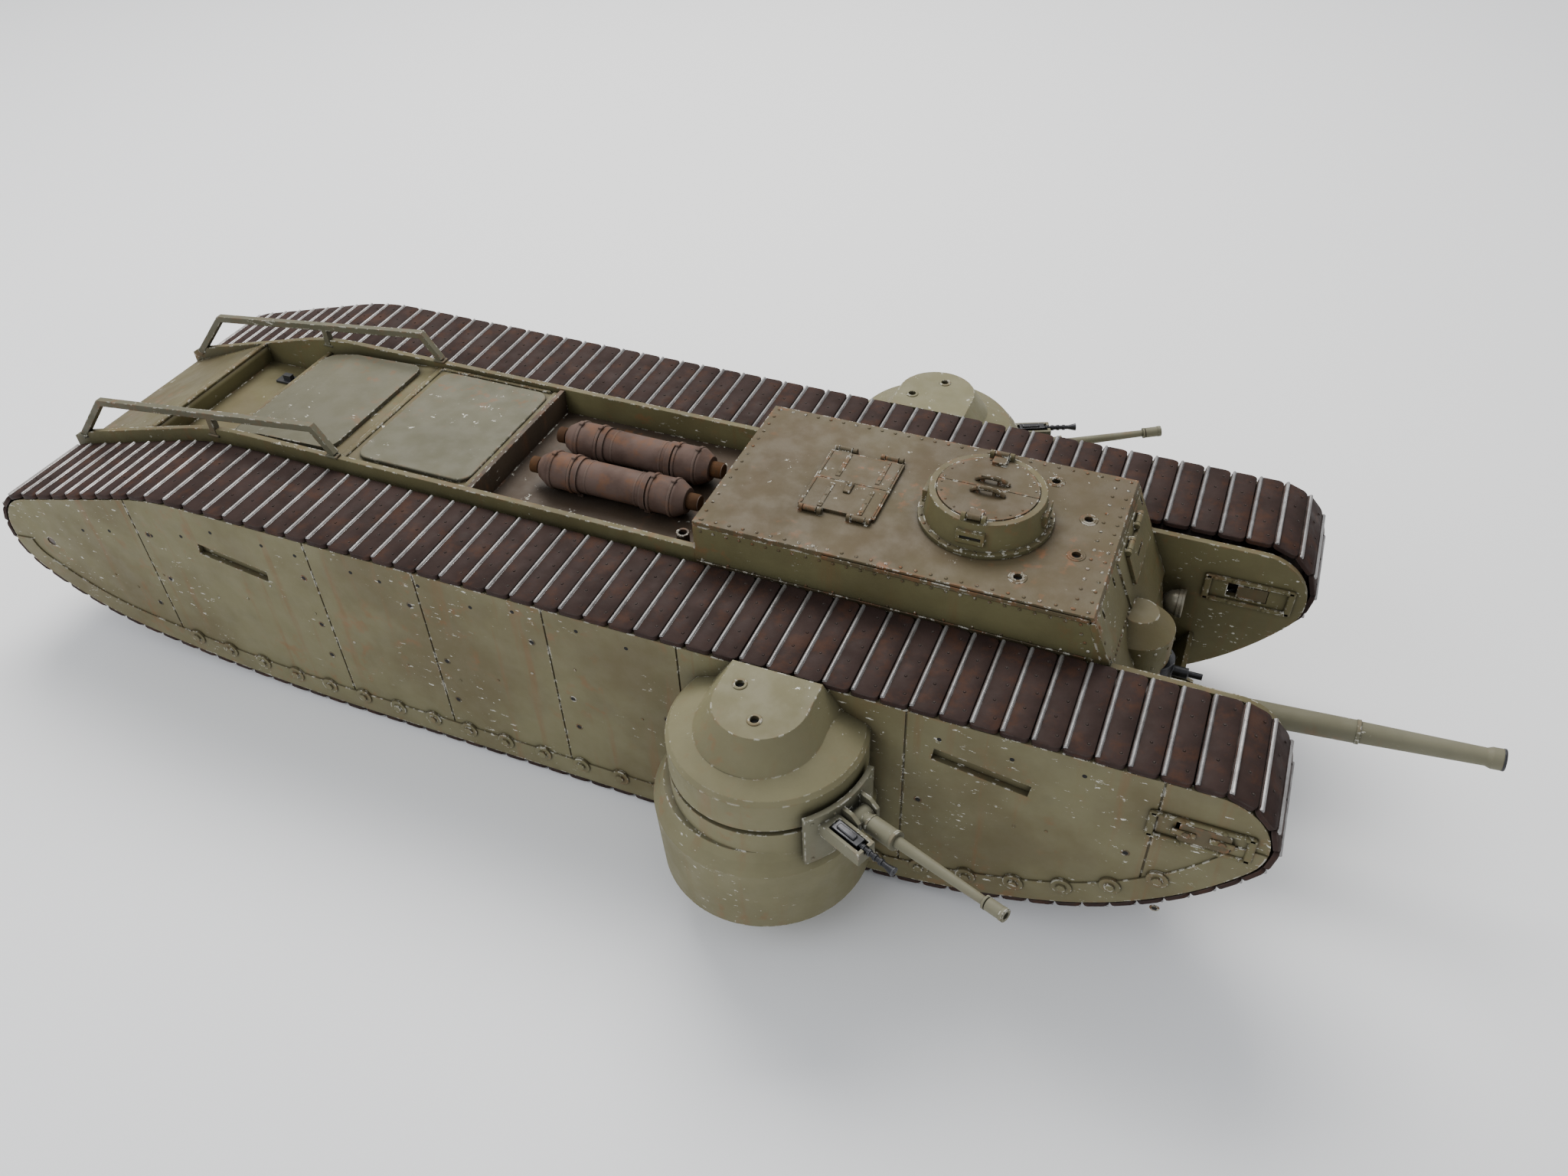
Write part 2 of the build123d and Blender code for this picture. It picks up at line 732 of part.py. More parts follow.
# Front plate
corner_z = 93.0
tip_z = 64.0
tip_half_width = 6.0
web_x = 243.6
web_thickness = 2.4
web_bottom = 31.0
driver_low = 92.0
driver_right = -8.0
panel_top = 133.4
panel_proud = 0.8
visor_left, visor_right = 34.0, 1.0
visor_top, visor_bottom = down_front(129.2), down_front(117.0)
pistol_holes = (-36.8, -16.3, 41.0)
pistol_z = 131.0
mount_side_gap = 1.0
mount_end_gap = 0.3
housing_wall = 2.5
mount_space = bow_mount_radius + mount_side_gap
mount_low = bow_gun_z - bow_mount_half_height
mount_high = bow_gun_z + bow_mount_half_height
housing_bottom = mount_high + housing_wall
bracket_front = lean_x(housing_bottom)
wide_z = plate_top + front_thickness * math.sin(lean)
mount_pin_radius = 2.0
mount_pin_length = 2.0
rotor_low = bow_mg_z - bow_mg_half_height
rotor_pin_radius = 1.5
visor_axis = (visor_top + 1.7, panel_proud + knuckle_radius + 0.1)
visor_hinge_xs = (visor_right + 7, visor_left - 7)
visor_lugs = hinge_lugs(front_plane, visor_hinge_xs, visor_axis, panel_proud - 0.2)

with BuildPart() as front_plate:
    with BuildSketch(front_plane):
        with BuildLine():
            edge = [(cab_half_width, down_front(roof_bottom)), (cab_half_width, down_front(wide_z)),
                    (hull_half_width, down_front(wide_z)), (hull_half_width, down_front(corner_z)),
                    (tip_half_width, down_front(tip_z))]
            Polyline(*edge, *[(-x, y) for x, y in reversed(edge)], close=True)
        make_face()
    extrude(amount=-front_thickness)
    with BuildSketch(Plane.YZ.offset(web_x)):
        with Locations((0, (web_bottom + plate_top) / 2)):
            Rectangle(2 * hull_half_width, plate_top - web_bottom)
    extrude(amount=web_thickness)
    with BuildSketch(Plane.XY.offset(mount_low - housing_wall)):
        with Locations(((web_x + bracket_front) / 2, 0)):
            Rectangle(bracket_front - web_x, 2 * (mount_space + housing_wall))
    extrude(amount=2 * (bow_mount_half_height + housing_wall))
    with BuildSketch(Plane.XY.offset(mount_low - mount_end_gap)):
        with Locations((web_x + web_thickness + mount_space + 20, 0)):
            Rectangle(2 * mount_space + 40, 2 * mount_space)
    extrude(amount=2 * (bow_mount_half_height + mount_end_gap), mode=Mode.SUBTRACT)
    with BuildSketch(Plane.XY.offset(mount_low - housing_wall)):
        with Locations((bow_mount_x, 0)):
            Circle(mount_pin_radius + running_fit)
    extrude(amount=2 * (bow_mount_half_height + housing_wall), mode=Mode.SUBTRACT)
    # Driver's panel, its visor port and the pistol holes
    with BuildSketch(front_plane):
        with Locations(((driver_right + hull_half_width) / 2,
                        (down_front(driver_low) + down_front(panel_top)) / 2)):
            Rectangle(hull_half_width - driver_right, down_front(panel_top) - down_front(driver_low))
    extrude(amount=panel_proud)
    with BuildSketch(front_plane.offset(panel_proud)):
        with Locations(((visor_left + visor_right) / 2, (visor_top + visor_bottom) / 2)):
            Rectangle(visor_left - visor_right - 5, visor_top - visor_bottom - 5)
        with Locations(*[(y, down_front(pistol_z)) for y in pistol_holes]):
            SlotOverall(4.5, 1.8, rotation=90)
    extrude(amount=-front_thickness - panel_proud - 1, mode=Mode.SUBTRACT)
    add(visor_lugs)
    # Rounded housing of the bow machine gun
    with BuildSketch(side_plane(-bow_mg_y)):
        with BuildLine():
            Polyline((housing_x, housing_bottom), (housing_x + housing_radius, housing_bottom),
                     (housing_x + housing_radius, housing_top),
                     (housing_x + housing_radius / 2, housing_crown),
                     (housing_x, housing_crown), close=True)
        make_face()
    revolve(axis=Axis((housing_x, bow_mg_y, 0), (0, 0, 1)))
    with BuildSketch(Plane.XY.offset(rotor_low - mount_end_gap)):
        with Locations((bow_mg_x, bow_mg_y)):
            Circle(bow_mg_radius + mount_end_gap)
    extrude(amount=2 * (bow_mg_half_height + mount_end_gap), mode=Mode.SUBTRACT)
    with BuildSketch(Plane.XY.offset(rotor_low - mount_pin_length - mount_end_gap)):
        with Locations((bow_mg_x, bow_mg_y)):
            Circle(rotor_pin_radius + running_fit)
    extrude(amount=2 * (bow_mg_half_height + mount_pin_length + mount_end_gap), mode=Mode.SUBTRACT)
save(front_plate.part, "front_plate")

visor_knuckles = hinge_knuckles(front_plane, visor_hinge_xs, visor_axis, visor_top - 0.5,
                                panel_proud + 0.2, panel_proud + 1.6)
with BuildPart() as driver_visor:
    with BuildSketch(front_plane.offset(panel_proud)):
        with BuildLine():
            Polyline((visor_right, visor_bottom), (visor_left, visor_bottom), (visor_left - 1.5, visor_top),
                     (visor_right + 1.5, visor_top), close=True)
        make_face()
    extrude(amount=1.6)
    add(visor_knuckles)
    with BuildSketch(front_plane.offset(panel_proud)):
        with Locations(((visor_left + visor_right) / 2, (visor_top + visor_bottom) / 2)):
            Rectangle(10, 1.2)
    extrude(amount=3, mode=Mode.SUBTRACT)
save(driver_visor.part, "driver_visor")


# ---- Cupola ----------------------------------------------------------------------------------------

leaf_low = cupola_top - leaf_thickness
rim_height = cupola_top - 0.4
leaf_play = 0.3
cupola_axis = (-leaf_radius - 1.2, cupola_top + knuckle_radius + 0.3)
cupola_lugs = hinge_lugs(Plane.XY, (cupola_x,), cupola_axis, cupola_top - 1)
slit_length = 9.0
slit_height = 1.6
slit_z = 145.0
with BuildPart() as cupola_ring:
    with BuildSketch(Plane.XZ):
        with BuildLine():
            Polyline(*[(cupola_x + radius, height) for radius, height in (
                (cupola_bore, roof_top), (cupola_flange, roof_top), (cupola_flange, roof_top + 2),
                (cupola_foot, roof_top + 2), (cupola_rim, rim_height), (leaf_radius + leaf_play, rim_height),
                (leaf_radius + leaf_play, leaf_low), (cupola_bore, leaf_low))], close=True)
        make_face()
    revolve(axis=Axis((cupola_x, 0, 0), (0, 0, 1)))
    with BuildSketch(Plane.XY.offset(slit_z - 3)):
        with Locations((cupola_x, 0)):
            with PolarLocations(cupola_foot - 1, 4):
                Rectangle(2.6, slit_length + 3)
            Circle(cupola_rim - 2, mode=Mode.SUBTRACT)
    extrude(amount=6)
    with BuildSketch(Plane.XY.offset(slit_z - slit_height / 2)):
        with Locations((cupola_x, 0)):
            with PolarLocations(cupola_foot, 4):
                Rectangle(20, slit_length)
    extrude(amount=slit_height, mode=Mode.SUBTRACT)
    add(cupola_lugs)
    add(mirror(cupola_lugs, about=Plane.XZ))
save(cupola_ring.part, "cupola_ring")

cupola_knuckle = hinge_knuckles(Plane.XY, (cupola_x,), cupola_axis, -leaf_radius + 5,
                                cupola_top - 0.1, cupola_top + knuckle_radius)
handle_y = -4.0
handle_half = 3.5
with BuildPart() as cupola_hatch:
    with BuildSketch(Plane.XY.offset(leaf_low)):
        with Locations((cupola_x, 0)):
            Circle(leaf_radius)
        with Locations((cupola_x, leaf_radius - leaf_gap / 2)):
            Rectangle(3 * leaf_radius, 2 * leaf_radius, mode=Mode.SUBTRACT)
    extrude(amount=leaf_thickness)
    add(cupola_knuckle)
    with BuildSketch(side_plane(-handle_y - 0.7)):
        with BuildLine():
            Polyline((cupola_x - handle_half, cupola_top - 0.2), (cupola_x - handle_half, cupola_top + 2.4),
                     (cupola_x + handle_half, cupola_top + 2.4), (cupola_x + handle_half, cupola_top - 0.2))
        trace(line_width=1.4)
    extrude(amount=1.4)
save_pair(cupola_hatch.part, "cupola_hatch")


# ---- Headlamps -------------------------------------------------------------------------------------

lamp_bracket = 3.0
with BuildPart() as headlamp:
    with BuildSketch(side_plane(lamp_y)):
        with BuildLine():
            rim = Polyline((lamp_x - lamp_length, lamp_z), (lamp_x + 1.5, lamp_z),
                           (lamp_x + 1.5, lamp_z + 5.5),
                           (lamp_x + 2.2, lamp_z + 5.5), (lamp_x + 2.2, lamp_z + lamp_radius),
                           (lamp_x - 0.5, lamp_z + lamp_radius))
            Line(rim @ 1, (lamp_x - 0.5, lamp_z + 6))
            ThreePointArc((lamp_x - 0.5, lamp_z + 6), (lamp_x - 5.5, lamp_z + 4), rim @ 0)
        make_face()
    revolve(axis=Axis((0, -lamp_y, lamp_z), (1, 0, 0)))
    with BuildSketch(Plane.YZ.offset(web_x + web_thickness)):
        with Locations((-lamp_y, lamp_z - 2)):
            Rectangle(lamp_bracket, lamp_bracket)
    extrude(amount=lamp_x - 4 - web_x - web_thickness)
save_pair(headlamp.part, "headlamp")


# ---- Sponsons --------------------------------------------------------------------------------------

slot_top = slot_bottom + slot_height
arm_gap = 0.3
arm_low = slot_bottom + arm_gap
arm_thickness = slot_height - 2 * arm_gap
collar_radius = 5.5
collar_top = arm_low - 0.1
post_top = 86.0


def turned(steps, axis_x):
    """Solid turned about an upright axis of the sponson from (radius, height) steps."""
    with BuildPart() as solid:
        with BuildSketch(side_plane(sponson_y)):
            with BuildLine():
                Polyline(*[(axis_x + radius, height) for radius, height in steps], close=True)
            make_face()
        revolve(axis=Axis((axis_x, -sponson_y, 0), (0, 0, 1)))
    return solid.part


def tongue(half_width):
    """Round-ended outline of the raised roof panel, running inboard past the side plate."""
    with Locations((sponson_x + tongue_shift, -sponson_y - tongue_reach)):
        Circle(half_width)
        Rectangle(2 * half_width, sponson_y, align=(Align.CENTER, Align.MIN))


neck_inside = neck_radius - drum_wall
drum_inside = drum_bottom_radius - drum_wall
base_steps = ((0, drum_floor), (drum_bottom_radius, drum_floor), (drum_shoulder_radius, drum_shoulder_z),
              (drum_shoulder_radius - 1.2, drum_shoulder_z + 2.4), (neck_radius + 2.6, drum_shoulder_z + 5.5),
              (neck_radius + 0.8, drum_shoulder_z + 10), (0, drum_shoulder_z + 10))
neck_steps = ((0, drum_shoulder_z), (neck_radius, drum_shoulder_z), (neck_radius, slot_bottom),
              (0, slot_bottom))
drum_space = ((0, drum_floor + drum_wall), (drum_inside, drum_floor + drum_wall),
              (drum_inside, drum_shoulder_z - drum_wall), (0, drum_shoulder_z - drum_wall))
neck_space = ((0, drum_shoulder_z - 2 * drum_wall), (neck_inside, drum_shoulder_z - 2 * drum_wall),
              (neck_inside, slot_top), (0, slot_top))
post_steps = ((0, drum_floor), (collar_radius, drum_floor), (collar_radius, collar_top),
              (post_radius, collar_top),
              (post_radius, post_top), (0, post_top))
with BuildPart() as sponson_base:
    add(turned(base_steps, sponson_x))
    add(turned(neck_steps, neck_x))
    add(turned(drum_space, sponson_x), mode=Mode.SUBTRACT)
    add(turned(neck_space, neck_x), mode=Mode.SUBTRACT)
    add(turned(post_steps, sponson_x))
    split(bisect_by=side_plane(outer_face), keep=Keep.TOP)
save_pair(sponson_base.part, "sponson_base")

# Shallow cone over the drum, with a raised tongue that runs inboard
roof_wall = 2.4
cone_z = roof_eaves + 6.5
cone_radius = 25.0
eaves_z = roof_eaves + 0.6
flare_low = cone_z - 2.6
flare_growth = 8.5
inner_top = tongue_top - roof_wall
belt_clearance = 0.6
tongue_holes = ((113.6, -110.3), (126.5, -125.7))
roof_steps = ((0, slot_top), (neck_radius, slot_top), (neck_radius, roof_eaves - 1.2),
              (neck_radius - 1.6, eaves_z),
              (cone_radius, cone_z), (0, cone_z))
roof_space = ((0, slot_top), (neck_inside, slot_top), (neck_inside, roof_eaves - roof_wall),
              (cone_radius, cone_z - roof_wall), (0, cone_z - roof_wall))
with BuildPart() as sponson_roof:
    add(turned(roof_steps, neck_x))
    with BuildSketch(Plane.XY.offset(flare_low)):
        tongue(tongue_radius + flare_growth)
    with BuildSketch(Plane.XY.offset(tongue_top)):
        tongue(tongue_radius)
    loft()
    add(turned(roof_space, neck_x), mode=Mode.SUBTRACT)
    with BuildSketch(Plane.XY.offset(cone_z - 2 * roof_wall)):
        tongue(tongue_radius - roof_wall)
    extrude(amount=inner_top - cone_z + 2 * roof_wall, mode=Mode.SUBTRACT)
    with BuildSketch(Plane.XY.offset(slot_top)):
        with Locations((sponson_x, -sponson_y)):
            Circle(2 * post_radius)
    extrude(amount=inner_top - slot_top)
    with BuildSketch(Plane.XY.offset(slot_top)):
        with Locations((sponson_x, -sponson_y)):
            Circle(post_radius + running_fit)
    extrude(amount=post_top - slot_top + 0.5, mode=Mode.SUBTRACT)
    with BuildSketch(Plane.XY.offset(inner_top)):
        with Locations(*tongue_holes):
            Circle(roof_hole_radius)
    extrude(amount=2 * roof_wall, mode=Mode.SUBTRACT)
    split(bisect_by=side_plane(outer_face), keep=Keep.TOP)
    with BuildSketch(Plane.XY.offset(plate_top - 0.5)):
        with Locations((sponson_x, -outer_face)):
            Rectangle(4 * neck_radius, 2 * belt_clearance)
    extrude(amount=track_top, mode=Mode.SUBTRACT)
save_pair(sponson_roof.part, "sponson_roof")


# ---- Side guns -------------------------------------------------------------------------------------

gun_plane = Plane(origin=(sponson_x, -sponson_y, 0), x_dir=Vector(1, 0, 0).rotate(Axis.Z, gun_heading),
                  z_dir=(0, 0, 1))
root_gap = 0.7
gun_root_u = shield_outer + root_gap + side_sleeve_radius
ear_outer = side_sleeve_radius + ear_gap + ear_thickness
gun_pin_radius = 1.2
gun_pin_bore = gun_pin_radius + running_fit
arm_half_width = 17.0
ear_reach = 4.0
ear_half_height = 6.5
shell_overlap = 0.3
mg_box_length = 21.0
mg_box_half_width = 4.5
mg_box_low = 81.0
mg_box_high = 87.6
mg_box_wall = 1.5
mg_axis_z = 86.8
mg_barrel_radius = 1.1


def upright(v):
    """Plane along the gun's heading, v to its left, with axes along the heading and up."""
    return Plane(origin=gun_plane.from_local_coords((0, v, 0)), x_dir=gun_plane.x_dir, z_dir=-gun_plane.y_dir)


with BuildPart() as gun_shield:
    with BuildSketch(gun_plane.offset(shield_bottom)):
        Circle(shield_outer)
        Circle(shield_inner, mode=Mode.SUBTRACT)
        with BuildLine():
            PolarLine((0, 0), 2 * shield_outer, shield_arc / 2)
            PolarLine((0, 0), 2 * shield_outer, -shield_arc / 2)
            Line(Vector(2 * shield_outer, 0).rotate(Axis.Z, shield_arc / 2),
                 Vector(2 * shield_outer, 0).rotate(Axis.Z, -shield_arc / 2))
        make_face(mode=Mode.INTERSECT)
    extrude(amount=shield_top - shield_bottom)
    with BuildSketch(gun_plane.offset(arm_low)):
        with BuildLine():
            Polyline((0, -collar_radius), (shield_inner + 1, -arm_half_width),
                     (shield_inner + 1, arm_half_width),
                     (0, collar_radius), close=True)
        make_face()
        with BuildLine():
            CenterArc((0, 0), (shield_inner + shield_outer) / 2, 0, 360)
        make_face(mode=Mode.INTERSECT)
        Circle(collar_radius)
        Circle(post_radius + running_fit, mode=Mode.SUBTRACT)
    extrude(amount=arm_thickness)
    for ear_v in (side_gun_offset + ear_outer, side_gun_offset - ear_outer + ear_thickness):
        with BuildSketch(upright(ear_v)):
            with BuildLine():
                Polyline((shield_inner + shell_overlap, side_gun_z - ear_half_height),
                         (gun_root_u, side_gun_z - ear_half_height),
                         (gun_root_u + ear_reach, side_gun_z - ear_reach),
                         (gun_root_u + ear_reach, side_gun_z + ear_reach),
                         (gun_root_u, side_gun_z + ear_half_height),
                         (shield_inner + shell_overlap, side_gun_z + ear_half_height), close=True)
            make_face()
        extrude(amount=ear_thickness)
    with BuildSketch(upright(side_gun_offset + ear_outer)):
        with Locations((gun_root_u, side_gun_z)):
            Circle(gun_pin_radius)
    extrude(amount=2 * ear_outer)
    # Open box of the machine gun, with a notch for its barrel
    with BuildSketch(gun_plane.offset(mg_box_low)):
        with Locations((shield_inner + mg_box_length / 2, mg_offset)):
            Rectangle(mg_box_length, 2 * mg_box_half_width)
    extrude(amount=mg_box_high - mg_box_low)
    with BuildSketch(gun_plane.offset(mg_box_low + mg_box_wall)):
        with Locations((shield_outer + mg_box_wall, mg_offset)):
            Rectangle(mg_box_length - 2 * mg_box_wall - (shield_outer - shield_inner),
                      2 * (mg_box_half_width - mg_box_wall), align=(Align.MIN, Align.CENTER))
    extrude(amount=mg_box_high, mode=Mode.SUBTRACT)
    with BuildSketch(gun_plane.offset(mg_axis_z - mg_barrel_radius - arm_gap)):
        with Locations((shield_inner + mg_box_length, mg_offset)):
            Rectangle(3 * mg_box_wall, 2 * (mg_barrel_radius + arm_gap))
    extrude(amount=mg_box_high, mode=Mode.SUBTRACT)
save_pair(gun_shield.part, "gun_shield")

mg_floor = mg_box_low + mg_box_wall
mg_block_start = shield_outer + mg_box_wall + 1
mg_block_length = 13.0
mg_block_half_width = 2.2
mg_block_height = 6.0
with BuildPart() as side_mg:
    with BuildSketch(gun_plane.offset(mg_floor)):
        with Locations((mg_block_start, mg_offset)):
            Rectangle(mg_block_length, 2 * mg_block_half_width, align=(Align.MIN, Align.CENTER))
    extrude(amount=mg_block_height)
    with BuildSketch(upright(mg_offset)):
        with BuildLine():
            Polyline((mg_block_start + 1, mg_axis_z), (mg_block_start + 1, mg_axis_z + mg_barrel_radius),
                     (mg_reach - 4, mg_axis_z + mg_barrel_radius),
                     (mg_reach, mg_axis_z + 1.8 * mg_barrel_radius),
                     (mg_reach, mg_axis_z + mg_barrel_radius / 2),
                     (mg_reach - 4, mg_axis_z + mg_barrel_radius / 2),
                     (mg_reach - 4, mg_axis_z), close=True)
        make_face()
    revolve(axis=Axis(gun_plane.from_local_coords((0, mg_offset, mg_axis_z)), gun_plane.x_dir))
save_pair(side_mg.part, "side_mg")


def gun_tube(root_plane, steps, root_radius, pin_bore):
    """Gun turned from (distance, radius) steps along its plane's x axis, with a round root on a pin."""
    with BuildPart() as tube:
        with BuildSketch(root_plane):
            with BuildLine():
                Polyline(*steps, close=True)
            make_face()
        revolve(axis=Axis(root_plane.origin, root_plane.x_dir))
        with BuildSketch(root_plane):
            Circle(root_radius)
        extrude(amount=root_radius, both=True)
        with BuildSketch(root_plane):
            Circle(pin_bore)
        extrude(amount=2 * root_radius, both=True, mode=Mode.SUBTRACT)
    return tube.part


gun_root = gun_plane.from_local_coords((gun_root_u, side_gun_offset, side_gun_z))
gun_direction = gun_plane.x_dir.rotate(Axis((0, 0, 0), -gun_plane.y_dir), side_gun_pitch)
side_gun_plane = Plane(origin=gun_root, x_dir=gun_direction, z_dir=-gun_plane.y_dir)
side_tube_length = (side_gun_reach - gun_root_u) / math.cos(math.radians(side_gun_pitch))
sleeve_length = 18.0
side_muzzle_length = 8.0
side_neck_radius = side_sleeve_radius - 0.4
side_gun_steps = ((0, 0), (0, side_neck_radius), (5, side_neck_radius), (5, side_sleeve_radius),
                  (sleeve_length, side_sleeve_radius), (sleeve_length, 2.4),
                  (side_tube_length - side_muzzle_length, 1.7), (side_tube_length - side_muzzle_length, 2.6),
                  (side_tube_length, 2.6), (side_tube_length, 1.5),
                  (side_tube_length - 2 * side_muzzle_length, 1),
                  (side_tube_length - 2 * side_muzzle_length, 0))
save_pair(gun_tube(side_gun_plane, side_gun_steps, side_sleeve_radius, gun_pin_bore), "side_gun")


# ---- Bow gun and bow machine gun -------------------------------------------------------------------

bow_pivot_x = bow_mount_x + bow_mount_radius + root_gap + bow_root_radius
bow_ear_inner = bow_root_radius + ear_gap
bow_ear_outer = bow_ear_inner + ear_thickness
bow_ear_half_height = 8.0
bow_ear_reach = 5.0
bow_pin_radius = 1.8
with BuildPart() as bow_gun_mount:
    with BuildSketch(Plane.XY.offset(mount_low)):
        with Locations((bow_mount_x, 0)):
            Circle(bow_mount_radius)
    extrude(amount=2 * bow_mount_half_height)
    with BuildSketch(Plane.XY.offset(mount_low - mount_end_gap - mount_pin_length)):
        with Locations((bow_mount_x, 0)):
            Circle(mount_pin_radius)
    extrude(amount=2 * (bow_mount_half_height + mount_end_gap + mount_pin_length))
    for ear_y in (-bow_ear_outer, bow_ear_inner):
        with BuildSketch(side_plane(ear_y)):
            with BuildLine():
                Polyline((bow_mount_x + bow_mount_radius / 2, bow_gun_z - bow_ear_half_height),
                         (bow_pivot_x - bow_ear_reach, bow_gun_z - bow_ear_half_height),
                         (bow_pivot_x + bow_ear_reach, bow_gun_z - bow_ear_reach),
                         (bow_pivot_x + bow_ear_reach, bow_gun_z + bow_ear_reach),
                         (bow_pivot_x - bow_ear_reach, bow_gun_z + bow_ear_half_height),
                         (bow_mount_x + bow_mount_radius / 2, bow_gun_z + bow_ear_half_height), close=True)
            make_face()
        extrude(amount=ear_thickness)
    with BuildSketch(side_plane(-bow_ear_outer)):
        with Locations((bow_pivot_x, bow_gun_z)):
            Circle(bow_pin_radius)
    extrude(amount=2 * bow_ear_outer)
save(bow_gun_mount.part, "bow_gun_mount")

bow_direction = Vector(1, 0, 0).rotate(Axis.Y, -bow_pitch)
bow_plane = Plane(origin=(bow_pivot_x, 0, bow_gun_z), x_dir=bow_direction, z_dir=(0, -1, 0))
bow_step = 75.0
bow_muzzle_length = 5.0
bow_neck_radius = bow_root_radius - 0.4
bow_tube_steps = ((0, 0), (0, bow_neck_radius), (8, bow_neck_radius), (8, bow_root_radius),
                  (bow_step, 5.05), (bow_step, 4.75),
                  (bow_reach - bow_muzzle_length - 2, 3.85), (bow_reach - bow_muzzle_length, 4.6),
                  (bow_reach, 4.6),
                  (bow_reach, 2.8), (bow_reach - 4 * bow_muzzle_length, 2.6),
                  (bow_reach - 4 * bow_muzzle_length, 0))
save(gun_tube(bow_plane, bow_tube_steps, bow_root_radius, bow_pin_radius + running_fit), "bow_gun")

bow_barrel_radius = 1.4
bow_jacket_radius = 2.4
bow_jacket_end = 15.0
with BuildPart() as bow_mg:
    with BuildSketch(Plane.XY.offset(rotor_low)):
        with Locations((bow_mg_x, bow_mg_y)):
            Circle(bow_mg_radius)
    extrude(amount=2 * bow_mg_half_height)
    with BuildSketch(Plane.XY.offset(rotor_low - mount_end_gap - mount_pin_length)):
        with Locations((bow_mg_x, bow_mg_y)):
            Circle(rotor_pin_radius)
    extrude(amount=2 * (bow_mg_half_height + mount_end_gap + mount_pin_length))
    with BuildSketch(side_plane(-bow_mg_y)):
        with BuildLine():
            Polyline((bow_mg_x, bow_mg_z), (bow_mg_x, bow_mg_z + bow_jacket_radius),
                     (bow_mg_x + bow_jacket_end, bow_mg_z + bow_jacket_radius),
                     (bow_mg_x + bow_jacket_end, bow_mg_z + bow_barrel_radius),
                     (bow_mg_x + bow_mg_reach, bow_mg_z + bow_barrel_radius),
                     (bow_mg_x + bow_mg_reach, bow_mg_z + bow_barrel_radius / 2),
                     (bow_mg_x + bow_jacket_end, bow_mg_z + bow_barrel_radius / 2),
                     (bow_mg_x + bow_jacket_end, bow_mg_z), close=True)
        make_face()
    revolve(axis=Axis((0, bow_mg_y, bow_mg_z), (1, 0, 0)))
save(bow_mg.part, "bow_mg")


# ---- Motors, battery, receiver and switch ----------------------------------------------------------

box_rear = -298.0
box_front = -258.0
box_low = 57.0
box_high = 80.0
box_inner_y = 14.0
can_front = -215.0
can_radius = 11.5
socket_depth_gap = 0.4
with BuildPart() as gear_motor:
    with BuildSketch(side_plane(box_inner_y)):
        with Locations(((box_rear + box_front) / 2, (box_low + box_high) / 2)):
            Rectangle(box_front - box_rear, box_high - box_low)
    extrude(amount=hull_half_width - box_inner_y)
    with BuildSketch(side_plane(motor_socket_y - socket_depth_gap)):
        with Locations(tail_centre):
            Circle(axle_bore)
    extrude(amount=hull_half_width, mode=Mode.SUBTRACT)
    with BuildSketch(Plane.YZ.offset(box_front - 1)):
        with Locations((-(box_inner_y + can_radius + 0.5), (box_low + box_high) / 2)):
            Circle(can_radius)
    extrude(amount=can_front - box_front)
save_pair(gear_motor.part, "gear_motor")

belly_top = belly_z + sheet / 2
battery_x = -95.0
battery_length = 110.0
battery_width = 58.0
battery_height = 32.0
battery_corner = 6.0
with BuildPart() as battery_pack:
    with BuildSketch(Plane.XY.offset(belly_top)):
        with Locations((battery_x, 0)):
            RectangleRounded(battery_length, battery_width, battery_corner)
    extrude(amount=battery_height)
save(battery_pack.part, "battery_pack")

board_z = 21.0
board_x = 60.0
board_length = 64.0
board_width = 44.0
board_thickness = 1.6
pillar_radius = 2.5
pillar_spacing = (54.0, 34.0)
chip_places = ((45.0, 8.0), (45.0, -10.0))
chip_size = (16.0, 12.0)
socket_place = (76.0, 0.0)
socket_size = (10.0, 30.0)
part_height = 4.0
with BuildPart() as receiver_board:
    with BuildSketch(Plane.XY.offset(belly_top)):
        with Locations((board_x, 0)):
            with GridLocations(*pillar_spacing, 2, 2):
                Circle(pillar_radius)
    extrude(amount=board_z - belly_top)
    with BuildSketch(Plane.XY.offset(board_z)):
        with Locations((board_x, 0)):
            Rectangle(board_length, board_width)
    extrude(amount=board_thickness)
    with BuildSketch(Plane.XY.offset(board_z + board_thickness)):
        with Locations(*chip_places):
            Rectangle(*chip_size)
        with Locations(socket_place):
            Rectangle(*socket_size)
    extrude(amount=part_height)
save(receiver_board.part, "receiver_board")

knob_gap = 0.2
knob_length = switch_neck_length + 8
knob_width = switch_neck_width + 4
well_top = well_floor + sheet / 2
with BuildPart() as power_switch:
    with BuildSketch(Plane.XY.offset(well_floor - sheet)):
        with Locations(switch_place):
            Rectangle(switch_neck_length, switch_neck_width)
    extrude(amount=2 * sheet)
    with BuildSketch(Plane.XY.offset(well_top + knob_gap)):
        with Locations(switch_place):
            Rectangle(knob_length, knob_width)
    extrude(amount=1)
    with BuildSketch(Plane.XY.offset(well_top + knob_gap + 1)):
        with Locations(switch_place):
            Rectangle(switch_neck_length, switch_neck_width)
    extrude(amount=3)
save(power_switch.part, "power_switch")
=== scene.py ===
"""Looks of the radio-controlled tank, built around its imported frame.

Metres in the frame, millimetres in the numbers below, which MM turns into metres.
"""

import math
import random

import bpy
from mathutils import Matrix, Vector


